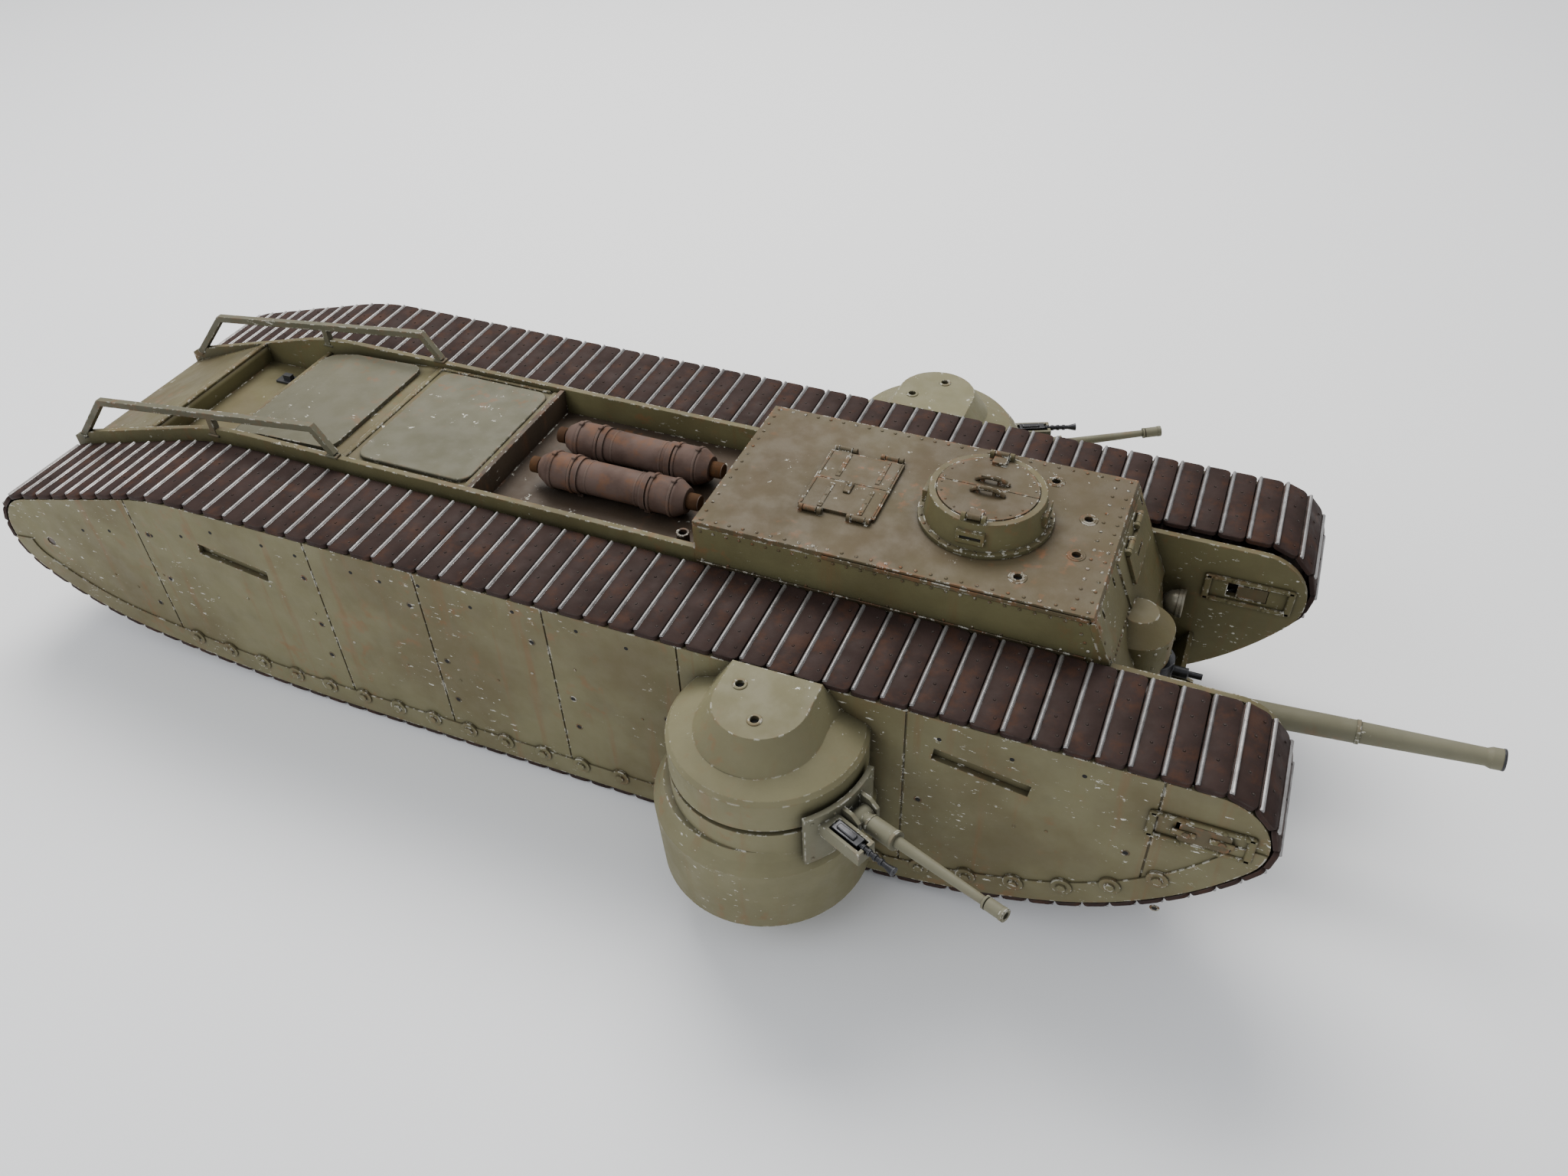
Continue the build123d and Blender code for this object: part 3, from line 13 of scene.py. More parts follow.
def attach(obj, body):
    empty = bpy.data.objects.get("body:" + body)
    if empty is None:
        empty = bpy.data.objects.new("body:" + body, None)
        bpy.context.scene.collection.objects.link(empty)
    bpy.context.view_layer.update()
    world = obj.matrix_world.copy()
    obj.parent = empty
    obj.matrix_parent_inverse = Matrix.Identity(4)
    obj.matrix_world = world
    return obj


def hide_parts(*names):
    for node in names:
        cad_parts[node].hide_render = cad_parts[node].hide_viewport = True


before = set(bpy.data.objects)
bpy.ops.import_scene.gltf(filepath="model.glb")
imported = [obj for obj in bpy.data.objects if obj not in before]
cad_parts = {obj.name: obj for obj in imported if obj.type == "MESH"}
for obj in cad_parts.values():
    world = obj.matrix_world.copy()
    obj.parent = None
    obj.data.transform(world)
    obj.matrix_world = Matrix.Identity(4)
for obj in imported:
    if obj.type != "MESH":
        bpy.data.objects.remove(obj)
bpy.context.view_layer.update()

MM = 0.001
# Pieces are drawn from the middle of the tracks, and the frame starts at the middle of the whole length
MIDDLE = Vector((41.52, 0, 0))
SIDES = (("right", -1), ("left", 1))
random.seed(7)

# ---- Materials -------------------------------------------------------------------------------------


class Nodes:
    """Short names for building a node tree."""

    def __init__(self, name):
        self.material = bpy.data.materials.new(name)
        self.material.use_nodes = True
        self.tree = self.material.node_tree
        self.shader = self.tree.nodes["Principled BSDF"]
        self.coords = self.new("ShaderNodeTexCoord").outputs["Object"]

    def new(self, kind, **values):
        node = self.tree.nodes.new(kind)
        for key, value in values.items():
            setattr(node, key, value)
        return node

    def join(self, output, socket):
        self.tree.links.new(output, socket)

    def feed(self, socket, value):
        if hasattr(value, "is_linked"):
            self.join(value, socket)
        else:
            socket.default_value = value

    def noise(self, scale, detail=4.0, stretch=(1, 1, 1), offset=0.0, rough=0.55):
        mapping = self.new("ShaderNodeMapping")
        mapping.inputs["Scale"].default_value = stretch
        mapping.inputs["Location"].default_value = (offset, offset / 2, offset / 3)
        self.join(self.coords, mapping.inputs["Vector"])
        node = self.new("ShaderNodeTexNoise")
        node.inputs["Scale"].default_value = scale
        node.inputs["Detail"].default_value = detail
        node.inputs["Roughness"].default_value = rough
        self.join(mapping.outputs["Vector"], node.inputs["Vector"])
        return node.outputs["Fac"]

    def ramp(self, value, low, high, start=0.0, end=1.0):
        node = self.new("ShaderNodeMapRange")
        node.interpolation_type = "SMOOTHSTEP"
        for socket, number in zip(("From Min", "From Max", "To Min", "To Max"), (low, high, start, end)):
            node.inputs[socket].default_value = number
        self.join(value, node.inputs["Value"])
        return node.outputs["Result"]

    def math(self, operation, first, second=0.0):
        node = self.new("ShaderNodeMath", operation=operation)
        self.feed(node.inputs[0], first)
        self.feed(node.inputs[1], second)
        return node.outputs[0]

    def mix(self, share, first, second):
        node = self.new("ShaderNodeMix", data_type="RGBA")
        self.feed(node.inputs["Factor"], share)
        self.feed(node.inputs[6], first if hasattr(first, "is_linked") else (*first, 1))
        self.feed(node.inputs[7], second if hasattr(second, "is_linked") else (*second, 1))
        return node.outputs[2]

    def facing(self, axis):
        """How far the surface faces along one axis of the object."""
        separate = self.new("ShaderNodeSeparateXYZ")
        texture = self.new("ShaderNodeTexCoord")
        self.join(texture.outputs["Normal"], separate.inputs[0])
        return separate.outputs[axis]

    def edges(self, radius):
        """High on convex and concave edges."""
        bevel = self.new("ShaderNodeBevel", samples=4)
        bevel.inputs["Radius"].default_value = radius
        geometry = self.new("ShaderNodeNewGeometry")
        dot = self.new("ShaderNodeVectorMath", operation="DOT_PRODUCT")
        self.join(bevel.outputs[0], dot.inputs[0])
        self.join(geometry.outputs["Normal"], dot.inputs[1])
        return self.ramp(self.math("SUBTRACT", 1.0, dot.outputs["Value"]), 0.01, 0.12)

    # Ambient occlusion, used to paint shade into creases and between parts.
    def creases(self, distance):
        shade = self.new("ShaderNodeAmbientOcclusion", samples=4)
        shade.inputs["Distance"].default_value = distance
        return shade.outputs["AO"]

    def bump(self, height, strength, distance=0.0004):
        bevel = self.new("ShaderNodeBevel", samples=4)
        bevel.inputs["Radius"].default_value = 0.0006
        node = self.new("ShaderNodeBump")
        node.inputs["Strength"].default_value = strength
        node.inputs["Distance"].default_value = distance
        self.join(height, node.inputs["Height"])
        self.join(bevel.outputs[0], node.inputs["Normal"])
        self.join(node.outputs[0], self.shader.inputs["Normal"])


def paint(name, base, dark, dust, chip=(0.62, 0.60, 0.52), chips=1.0, rust=(0.22, 0.085, 0.03), rusting=0.35,
          dusting=0.4, rough=0.62, streaks=0.35, crease_shade_strength=0.75):
    """Matt paint, uneven in tone, with dust, streaks, rust and chips down to bare metal at the edges, and
    painted shade darkening its creases.
    """
    n = Nodes(name)
    color = n.mix(n.ramp(n.noise(16, 5), 0.35, 0.68), base, dark)
    color = n.mix(n.ramp(n.noise(75, 6, offset=3), 0.45, 0.75, 0, 0.35), color, tuple(v * 0.72 for v in base))
    up = n.ramp(n.facing(2), 0.2, 0.9)
    dusty = n.math("MULTIPLY", n.ramp(n.noise(34, 6, offset=5), 0.35, 0.7, 0.35, 1), up)
    color = n.mix(n.math("MULTIPLY", dusty, dusting), color, dust)
    streak = n.ramp(n.noise(1, 4, stretch=(120, 120, 9), offset=2), 0.56, 0.72)
    sideways = n.math("SUBTRACT", 1.0, up)
    streak = n.math("MULTIPLY", n.math("MULTIPLY", streak, sideways), streaks)
    color = n.mix(streak, color, tuple(0.5 * (a + b) for a, b in zip(rust, dark)))
    edge = n.edges(0.0026)
    worn = n.ramp(n.noise(150, 5, offset=9, rough=0.65), 0.50, 0.60)
    spots = n.math("MULTIPLY", n.ramp(n.noise(26, 3, offset=8), 0.52, 0.66),
                   n.ramp(n.noise(170, 6, offset=4), 0.52, 0.66))
    rusty = n.math("MAXIMUM", n.math("MULTIPLY", edge, worn), spots)
    color = n.mix(n.math("MULTIPLY", rusty, rusting), color, rust)
    # Painted shade: the colour is darkened towards the dark tone in creases and between parts, where shade
    # falls.
    painted_crease_shade = n.ramp(n.creases(0.008), 0.35, 0.95, crease_shade_strength, 0)
    color = n.mix(painted_crease_shade, color, tuple(v * 0.22 for v in dark))
    thin = n.edges(0.0011)
    flakes = n.math("MULTIPLY", n.ramp(n.noise(260, 4, offset=1, rough=0.7), 0.545, 0.575), thin)
    scratches = n.ramp(n.noise(1, 5, stretch=(190, 190, 520), offset=6, rough=0.72), 0.640, 0.655)
    patches = n.ramp(n.noise(19, 3, offset=11), 0.50, 0.58)
    chipped = n.math("MAXIMUM", flakes, n.math("MULTIPLY", scratches, patches))
    chipped = n.math("MULTIPLY", chipped, chips)
    color = n.mix(chipped, color, chip)
    n.join(color, n.shader.inputs["Base Color"])
    uneven = n.ramp(n.noise(90, 4, offset=2), 0.3, 0.7, rough - 0.08, rough + 0.12)
    n.join(uneven, n.shader.inputs["Roughness"])
    height = n.math("SUBTRACT", n.noise(520, 3, offset=7), n.math("MULTIPLY", chipped, 0.8))
    n.bump(height, 0.22)
    n.shader.inputs["Specular IOR Level"].default_value = 0.35
    return n.material


def metal(name, base, dark, rough=0.4, metallic=1.0, rust=(0.20, 0.08, 0.03), rusting=0.0, bright=None,
          wear=0.0):
    """Bare or oiled metal, with worn bright edges and painted shade darkening its creases."""
    n = Nodes(name)
    color = n.mix(n.ramp(n.noise(60, 5), 0.35, 0.7), base, dark)
    rusty = n.ramp(n.noise(95, 6, offset=4, rough=0.65), 0.48, 0.68, 0, rusting)
    color = n.mix(rusty, color, rust)
    # Painted shade: the colour is darkened in creases and between parts, where shade falls.
    painted_crease_shade = n.ramp(n.creases(0.005), 0.35, 0.95, 0.6, 0)
    color = n.mix(painted_crease_shade, color, tuple(v * 0.2 for v in dark))
    if bright:
        worn = n.math("MULTIPLY", n.edges(0.0009), n.ramp(n.noise(160, 4, offset=2), 0.4, 0.6, 0.3, 1))
        color = n.mix(n.math("MULTIPLY", worn, wear), color, bright)
    n.join(color, n.shader.inputs["Base Color"])
    n.shader.inputs["Metallic"].default_value = metallic
    n.shader.inputs["Specular IOR Level"].default_value = 0.5 if metallic else 0.05
    uneven = n.ramp(n.noise(120, 4, offset=2), 0.3, 0.7, rough - 0.08, rough + 0.14)
    n.join(uneven, n.shader.inputs["Roughness"])
    n.bump(n.noise(600, 3, offset=7), 0.2)
    return n.material


def plain(name, color, rough=0.5, metallic=0.0):
    """Smooth moulded or glass surface, slightly uneven in tone."""
    n = Nodes(name)
    tone = n.mix(n.ramp(n.noise(80, 4), 0.3, 0.7), color, tuple(0.8 * v for v in color))
    n.join(tone, n.shader.inputs["Base Color"])
    n.shader.inputs["Roughness"].default_value = rough
    n.shader.inputs["Metallic"].default_value = metallic
    return n.material


OLIVE = paint("olive_side", (0.168, 0.152, 0.078), (0.1216, 0.1003, 0.0471), (0.1824, 0.1444, 0.0798),
              streaks=0.5)
HULL = paint("olive_hull", (0.1424, 0.127, 0.057), (0.1001, 0.0847, 0.037), (0.1155, 0.0809, 0.0385),
             dusting=0.45)
DECK = paint("deck_green", (0.1254, 0.1175, 0.0739), (0.099, 0.0924, 0.0554), (0.1254, 0.1122, 0.0726),
             dusting=0.3, rusting=0.4)
ROOF = paint("roof_dust", (0.1008, 0.0806, 0.0396), (0.0756, 0.0562, 0.0259), (0.0936, 0.0612, 0.0288),
             dusting=0.5, rusting=0.75)
SPONSON = paint("sponson_green", (0.1849, 0.1686, 0.0894), (0.1462, 0.1307, 0.0671), (0.172, 0.1505, 0.086),
                dusting=0.3, rusting=0.3)
GUN = paint("gun_green", (0.1672, 0.1584, 0.1038), (0.132, 0.1232, 0.0774), (0.1672, 0.1496, 0.0968),
            dusting=0.2, rusting=0.25)
TRACK = metal("track_brown", (0.0442, 0.0285, 0.0247), (0.0323, 0.0208, 0.0179), rough=0.55, metallic=0.0,
              rust=(0.0808, 0.0357, 0.0204), rusting=0.45, bright=(0.102, 0.085, 0.0765), wear=0.6)
RIDGE = metal("track_ridge", (0.26, 0.25, 0.245), (0.16, 0.145, 0.14), rough=0.34, metallic=0.55,
              bright=(0.50, 0.49, 0.48), wear=0.8)
EXHAUST = metal("exhaust_brown", (0.1265, 0.0858, 0.0704), (0.0825, 0.0528, 0.0418), rough=0.55, metallic=0.0,
                rust=(0.187, 0.0825, 0.0385), rusting=0.5, bright=(0.22, 0.176, 0.143), wear=0.5)
TAIL = metal("exhaust_tail", (0.0825, 0.0429, 0.0209), (0.055, 0.0286, 0.0165), rough=0.7, metallic=0.0,
             rust=(0.132, 0.055, 0.0193), rusting=0.7)
GUNMETAL = metal("gunmetal", (0.045, 0.045, 0.048), (0.025, 0.025, 0.027), rough=0.38, metallic=0.85,
                 bright=(0.22, 0.22, 0.23), wear=0.6)
WHEEL = metal("wheel_iron", (0.10, 0.085, 0.075), (0.06, 0.05, 0.045), rough=0.5, metallic=0.6, rusting=0.5)
LAMP = metal("lamp_rim", (0.30, 0.28, 0.22), (0.20, 0.18, 0.13), rough=0.35, metallic=0.6, rusting=0.2)
LENS = plain("lamp_lens", (0.42, 0.43, 0.40), rough=0.12)
# Painted shade: near-black colour standing for the shade inside the bolt holes, roof and sponson holes and
# the cupola slits.
HOLE_SHADE = plain("painted_hole_shade", (0.010, 0.009, 0.008), rough=0.9)
PLASTIC = plain("black_plastic", (0.03, 0.03, 0.032), rough=0.45)
BOARD = plain("circuit_board", (0.02, 0.14, 0.06), rough=0.4)
BAY = paint("bay_floor", (0.075, 0.052, 0.032), (0.045, 0.030, 0.019), (0.07, 0.045, 0.028), rusting=0.5)


# ---- Meshes ----------------------------------------------------------------------------------------


class Shape:
    """Vertices in millimetres and faces, gathered into one piece."""

    def __init__(self):
        self.points = []
        self.faces = []
        self.kinds = []

    def add(self, points, faces, kind=0):
        start = len(self.points)
        self.points += [Vector(p) for p in points]
        self.faces += [tuple(start + i for i in face) for face in faces]
        self.kinds += [kind] * len(faces)

    def block(self, centre, size, axes=None, bevel=0.4, kind=0):
        """Block with chamfered edges; axes are its three directions."""
        axes = axes or (Vector((1, 0, 0)), Vector((0, 1, 0)), Vector((0, 0, 1)))
        half = [s / 2 for s in size]
        cut = min(bevel, 0.45 * min(size))
        rings = []
        for level, inset in ((-half[2], cut), (-half[2] + cut, 0), (half[2] - cut, 0), (half[2], cut)):
            a, b, c = half[0] - inset, half[1] - inset, cut
            corners = ((a - c, -b), (a, -b + c), (a, b - c), (a - c, b),
                       (-a + c, b), (-a, b - c), (-a, -b + c), (-a + c, -b))
            rings.append([(x, y, level) for x, y in corners])
        points = [Vector(centre) + axes[0] * p[0] + axes[1] * p[1] + axes[2] * p[2]
                  for ring in rings for p in ring]
        faces = [tuple(range(7, -1, -1)), tuple(range(24, 32))]
        for ring in range(3):
            for i in range(8):
                j = (i + 1) % 8
                faces.append((8 * ring + i, 8 * ring + j, 8 * ring + 8 + j, 8 * ring + 8 + i))
        self.add(points, faces, kind)

    def lathe(self, base, axis, steps, around=16, kind=0):
        """Turned solid: steps are (distance along the axis, radius)."""
        axis = Vector(axis).normalized()
        side = axis.orthogonal().normalized()
        other = axis.cross(side)
        points = []
        for along, radius in steps:
            for i in range(around):
                turn = 2 * math.pi * i / around
                outward = side * math.cos(turn) + other * math.sin(turn)
                points.append(Vector(base) + axis * along + outward * radius)
        faces = [tuple(range(around - 1, -1, -1)),
                 tuple((len(steps) - 1) * around + i for i in range(around))]
        for ring in range(len(steps) - 1):
            for i in range(around):
                j = (i + 1) % around
                faces.append((ring * around + i, ring * around + j,
                              (ring + 1) * around + j, (ring + 1) * around + i))
        self.add(points, faces, kind)

    def rivet(self, place, normal, radius=0.95, height=0.6):
        self.lathe(Vector(place) - Vector(normal) * 0.15, normal,
                   ((0, radius), (0.15 + height * 0.55, radius * 0.82), (0.15 + height, radius * 0.35)), 8)

    def ring(self, place, normal, inner, outer, height, around=20, kind=0):
        """Raised flat ring round a hole."""
        axis = Vector(normal).normalized()
        side = axis.orthogonal().normalized()
        other = axis.cross(side)
        steps = ((inner, -0.2), (inner, height), (outer - 0.3, height), (outer, height - 0.3), (outer, -0.2))
        points = []
        for radius, level in steps:
            for i in range(around):
                turn = 2 * math.pi * i / around
                outward = side * math.cos(turn) + other * math.sin(turn)
                points.append(Vector(place) + axis * level + outward * radius)
        count = len(steps)
        faces = []
        for ring in range(count):
            after = (ring + 1) % count
            for i in range(around):
                j = (i + 1) % around
                faces.append((ring * around + i, after * around + i, after * around + j, ring * around + j))
        self.add(points, faces, kind)

    def tube(self, path, radius, around=10, kind=0):
        """Round bar along a path of points."""
        path = [Vector(p) for p in path]
        points = []
        for i, p in enumerate(path):
            ahead = path[min(i + 1, len(path) - 1)] - path[max(i - 1, 0)]
            if i == 0:
                side = ahead.orthogonal().normalized()
            else:
                side = side - ahead * side.dot(ahead) / ahead.length_squared
            side.normalize()
            other = ahead.normalized().cross(side)
            turns = [2 * math.pi * k / around for k in range(around)]
            points += [p + (side * math.cos(turn) + other * math.sin(turn)) * radius for turn in turns]
        faces = [tuple(range(around - 1, -1, -1)), tuple((len(path) - 1) * around + k for k in range(around))]
        for i in range(len(path) - 1):
            for k in range(around):
                m = (k + 1) % around
                faces.append((i * around + k, i * around + m, (i + 1) * around + m, (i + 1) * around + k))
        self.add(points, faces, kind)

    def piece(self, name, body, materials, smooth=35, replaces=()):
        """Makes the object, which rides on a body of the frame."""
        mesh = bpy.data.meshes.new(name)
        mesh.from_pydata([(p - MIDDLE) * MM for p in self.points], [], self.faces)
        materials = materials if isinstance(materials, tuple) else (materials,)
        for material in materials:
            mesh.materials.append(material)
        mesh.polygons.foreach_set("material_index", self.kinds)
        mesh.update()
        thing = bpy.data.objects.new(name, mesh)
        bpy.context.scene.collection.objects.link(thing)
        mesh.shade_smooth()
        mesh.set_sharp_from_angle(angle=math.radians(smooth))
        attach(thing, body)
        if replaces:
            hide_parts(*replaces)
        return thing


# ---- Outline of the track run ----------------------------------------------------------------------

TRACK_TOP = 116.4
LIP = 1.0


def run_segments():
    """The run as (x, z, heading, length, radius) segments; radius 0 is straight, headings in radians."""
    def arc_end(x, z, heading, radius, turn):
        last = heading + turn
        across = radius * (math.sin(last) - math.sin(heading))
        return x + across, z + radius * (math.cos(heading) - math.cos(last))

    rad = math.radians
    segments = [(-110.0, LIP, 0.0, 254.4, 0.0)]
    x, z, heading = 144.4, LIP, 0.0
    for radius, turn in ((290.0, 20.0), (151.0, 36.0)):
        segments.append((x, z, heading, radius * rad(turn), radius))
        x, z = arc_end(x, z, heading, radius, rad(turn))
        heading += rad(turn)
    nose = (TRACK_TOP - z) / (1 + math.cos(heading))
    turn = math.pi - heading
    segments.append((x, z, heading, nose * turn, nose))
    x, z = arc_end(x, z, heading, nose, turn)
    # The tail, worked back from the start
    heel_x, heel_z = -110.0 - 850 * math.sin(rad(9.2)), LIP + 850 * (1 - math.cos(rad(9.2)))
    steep = rad(360 - 9.2 - 25.8)
    shallow = rad(360 - 9.2)
    tail_x = heel_x - 152 * (math.sin(shallow) - math.sin(steep))
    tail_z = heel_z - 152 * (math.cos(steep) - math.cos(shallow))
    slope = rad(195)
    start_x = tail_x - 29.8 * (math.sin(steep) - math.sin(slope))
    start_z = tail_z - 29.8 * (math.cos(slope) - math.cos(steep))
    corner = start_x + (TRACK_TOP - start_z) / math.tan(rad(15))
    tangent = 152 * math.tan(rad(7.5))
    segments.append((x, z, math.pi, x - corner - tangent, 0.0))
    segments.append((corner + tangent, TRACK_TOP, math.pi, 152 * rad(15), 152.0))
    bend_x, bend_z = corner + tangent * math.cos(slope), TRACK_TOP + tangent * math.sin(slope)
    segments.append((bend_x, bend_z, slope, math.hypot(bend_x - start_x, bend_z - start_z), 0.0))
    segments.append((start_x, start_z, slope, 29.8 * (steep - slope), 29.8))
    segments.append((tail_x, tail_z, steep, 152 * rad(25.8), 152.0))
    segments.append((heel_x, heel_z, shallow, 850 * rad(9.2), 850.0))
    return segments


RUN = run_segments()
RUN_LENGTH = sum(s[3] for s in RUN)
LINKS = round(RUN_LENGTH / 12.0)
PITCH = RUN_LENGTH / LINKS


def on_run(distance, inset=0.0):
    """Point (x, z) on the run, and its heading, at a distance along it, drawn in by inset."""
    distance %= RUN_LENGTH
    for x, z, heading, length, radius in RUN:
        if distance <= length:
            break
        distance -= length
    turn = distance / radius if radius else 0.0
    if radius:
        x += radius * (math.sin(heading + turn) - math.sin(heading))
        z += radius * (math.cos(heading) - math.cos(heading + turn))
    else:
        x += distance * math.cos(heading)
        z += distance * math.sin(heading)
    heading += turn
    return x - inset * math.sin(heading), z + inset * math.cos(heading), heading


# ---- Track belts -----------------------------------------------------------------------------------

HALF_WIDTH = 24.45
BELT_Y = 74.0
GAP = 0.6
CORNER = 2.4


def add_link(belt, number, sign):
    """One track plate with its ridge, rivets and chain link."""
    x, z, heading = on_run((number + 0.53) * PITCH)
    along = Vector((math.cos(heading), 0, math.sin(heading)))
    out = Vector((math.sin(heading), 0, -math.cos(heading)))
    wide = Vector((0, 1, 0))
    jitter = random.uniform(-0.12, 0.12)
    origin = Vector((x, sign * BELT_Y, z)) + out * jitter + along * random.uniform(-0.1, 0.1)

    def at(s, y, t):
        return origin + along * s + wide * y + out * t

    front, back = PITCH / 2 - GAP / 2 + 0.35, -PITCH / 2 + GAP / 2 + 0.15
    rings = []
    for inset, level in ((0.0, -2.4), (0.0, -0.35), (0.35, -0.02)):
        a, b, w, c = front - inset, back + inset, HALF_WIDTH - inset, CORNER
        corners = []
        rounds = ((a - c, w - c, 0), (b + c, w - c, 90), (b + c, -w + c, 180), (a - c, -w + c, 270))
        for cs, cy, first in rounds:
            for step in (0, 30, 60, 90):
                turn = math.radians(first + step)
                corners.append((cs + c * math.cos(turn), cy + c * math.sin(turn)))
        rings.append([at(s, y, level) for s, y in corners])
    count = len(rings[0])
    faces = [tuple(range(count - 1, -1, -1)), tuple(2 * count + i for i in range(count))]
    for ring in range(2):
        for i in range(count):
            j = (i + 1) % count
            faces.append((ring * count + i, ring * count + j, (ring + 1) * count + j, (ring + 1) * count + i))
    belt.add([p for ring in rings for p in ring], faces, 0)
    # Rounded ridge across the plate, near its leading edge
    ridge = front - 1.2
    length = HALF_WIDTH - 1.0
    profile = ((-0.9, -0.3), (-0.6, 0.6), (0.0, 0.95), (0.6, 0.6), (0.9, -0.3))
    points = [at(ridge + s, y, t) for y in (-length, length) for s, t in profile]
    faces = [(i, i + 1, i + 6, i + 5) for i in range(4)] + [(4, 3, 2, 1, 0), (5, 6, 7, 8, 9)]
    belt.add(points, faces, 1)
    for i, y in enumerate((-18.5, -9.2, 0.0, 9.2, 18.5)):
        belt.rivet(at(-0.2 if i % 2 else -2.8, y, -0.02), out, 0.62, 0.32)
    # Chain under the plate
    for y in (-6.6, 6.6):
        belt.block(at(0, y, -4.0), (PITCH - 0.4, 1.6, 3.2), (along, wide, out), 0.5, 2)
    belt.lathe(at(-PITCH / 2 + 0.2, -8, -4.1), wide, ((0, 1.5), (16, 1.5)), 8, 2)


for side, sign in SIDES:
    belt = Shape()
    for number in range(LINKS):
        add_link(belt, number, sign)
    belt.piece(f"track_plates_{side}", "chassis", (TRACK, RIDGE, WHEEL), 40,
               [f"track_belt_{side}"])


# ---- Details on the side frames --------------------------------------------------------------------

OUTER = 98.2


def strip(shape, start, end, first_inset, last_inset, low, high, sign, steps, kind=0):
    """Flat band along the run on the outer plate, between two insets."""
    points = []
    for i in range(steps + 1):
        distance = start + (end - start) * i / steps
        for inset, y in ((first_inset, low), (first_inset, high), (last_inset, high), (last_inset, low)):
            x, z, heading = on_run(distance, inset)
            points.append((x, sign * y, z))
    faces = [(0, 1, 2, 3), tuple(4 * steps + i for i in (3, 2, 1, 0))]
    for i in range(steps):
        for k in range(4):
            m = (k + 1) % 4
            faces.append((4 * i + k, 4 * i + 4 + k, 4 * i + 4 + m, 4 * i + m))
    shape.add(points, faces, kind)


JOINTS = (-220.0, -111.0, -51.0, 15.0, 79.3, 178.7, 277.5)
for side, sign in SIDES:
    out = (0, sign, 0)
    rails = Shape()
    strip(rails, RUN_LENGTH - 230, RUN_LENGTH + 465, 3.4, 15.4, OUTER - 0.2, OUTER + 0.7, sign, 150)
    rails.piece(f"lower_rail_{side}", "chassis", OLIVE)
    bolts = Shape()
    holes = Shape()
    stains = Shape()
    for x in JOINTS:
        for k in range(3):
            z = 38 + 26 * k + random.uniform(-4, 4)
            place = (x + random.choice((-7, 7)) + random.uniform(-1.5, 1.5), sign * OUTER, z)
            if abs(place[0] - 123) > 52 and not (place[0] > 262 and z > 76):
                # Painted shade: a near-black disc flush with the plate stands for the shaded inside of a bolt
                # hole.
                holes.lathe((place[0], sign * (OUTER - 0.05), place[2]), out, ((0, 1.15), (0.12, 1.1)), 12)
                stains.ring((place[0], sign * OUTER, place[2]), out, 1.15, 2.1, 0.08, 12)
    for x in range(-260, 300, 24):
        top = 104 - max(0, -150 - x) * 0.26
        if abs(x - 123) > 50 and x < 262:
            # Painted shade: a near-black disc flush with the plate stands for the shaded inside of a bolt
            # hole.
            holes.lathe((x + random.uniform(-6, 6), sign * (OUTER - 0.05), top + random.uniform(-2, 3)), out,
                        ((0, 1.0), (0.12, 0.95)), 12)
            place = (x + random.uniform(-8, 8), sign * OUTER, top - random.uniform(22, 60))
            bolts.rivet(place, out, 0.8, 0.4)
    holes.piece(f"bolt_holes_{side}", "chassis", HOLE_SHADE)
    stains.piece(f"bolt_stains_{side}", "chassis", ROOF)
    bolts.piece(f"side_bolts_{side}", "chassis", OLIVE)
    # Frames round the tensioner slots, inside and outside the side frame
    vents = Shape()
    for x, z in ((-161, 86.4), (210, 90)):
        lean = math.radians(-9)
        vents.block((x, sign * (OUTER - 3.4), z - 1.2), (44, 1.2, 9),
                    (Vector((math.cos(lean), 0, math.sin(lean))), Vector((0, 1, 0)),
                     Vector((-math.sin(lean), 0, math.cos(lean)))), 0.2)
    vents.piece(f"vent_backs_{side}", "chassis", OLIVE)
    frames = Shape()
    for face, way in ((OUTER, 1), (44.2, -1)):
        y = sign * face
        lift = sign * way * 0.8
        for z in (84.2, 96.7):
            frames.block((294, y + lift, z), (38, 1.6, 2.2), None, 0.4)
        for x in (276, 312):
            frames.block((x, y + lift, 90.4), (3, 1.6, 14), None, 0.4)
        for x in (279, 287, 302, 310):
            for z in (84.2, 96.7):
                frames.rivet((x, y + 2 * lift, z), (0, sign * way, 0), 1.1, 0.7)
    for i in range(2):
        frames.block((288 + 14 * i, sign * (OUTER + 1.5), 90.45), (9, 1.0, 3), None, 0.3)
    frames.piece(f"tensioner_frame_{side}", "chassis", HULL)


# ---- Cab and cupola --------------------------------------------------------------------------------

LEAN = math.radians(22.8)
ROOF_TOP = 137.0
CUPOLA_X = 181.0
ROOF_HOLES = ((203.7, 34), (222.7, 12.3), (203.7, -34), (222.7, -12.3))
rivets = Shape()
up = Vector((0, 0, 1))
for i in range(27):
    x = 68 + i * (166.5 / 26)
    for y in (-44.6, 44.6):
        rivets.rivet((x, y, ROOF_TOP), up, 0.85, 0.5)
for i in range(15):
    y = -44.6 + i * (89.2 / 14)
    for x in (67.2, 228.8, 234.6):
        rivets.rivet((x, y, ROOF_TOP), up, 0.85, 0.5)
for i in range(28):
    x = 68 + i * 6.1
    for sign in (-1, 1):
        rivets.rivet((x, 47.2 * sign, 132.4), (0, sign, 0), 0.8, 0.45)
        if i % 2 == 0:
            rivets.rivet((x, 47.2 * sign, 116.4), (0, sign, 0), 0.8, 0.45)
for k in range(4):
    for sign in (-1, 1):
        rivets.rivet((233.6 + k * 1.9, 47.2 * sign, 127.5 - k * 4.2), (0, sign, 0), 0.8, 0.45)
down = Vector((math.sin(LEAN), 0, -math.cos(LEAN)))
front_out = Vector((math.cos(LEAN), 0, math.sin(LEAN)))


def on_front(y, z):
    return Vector((237.3 + (ROOF_TOP - z) * math.tan(LEAN), y, z))


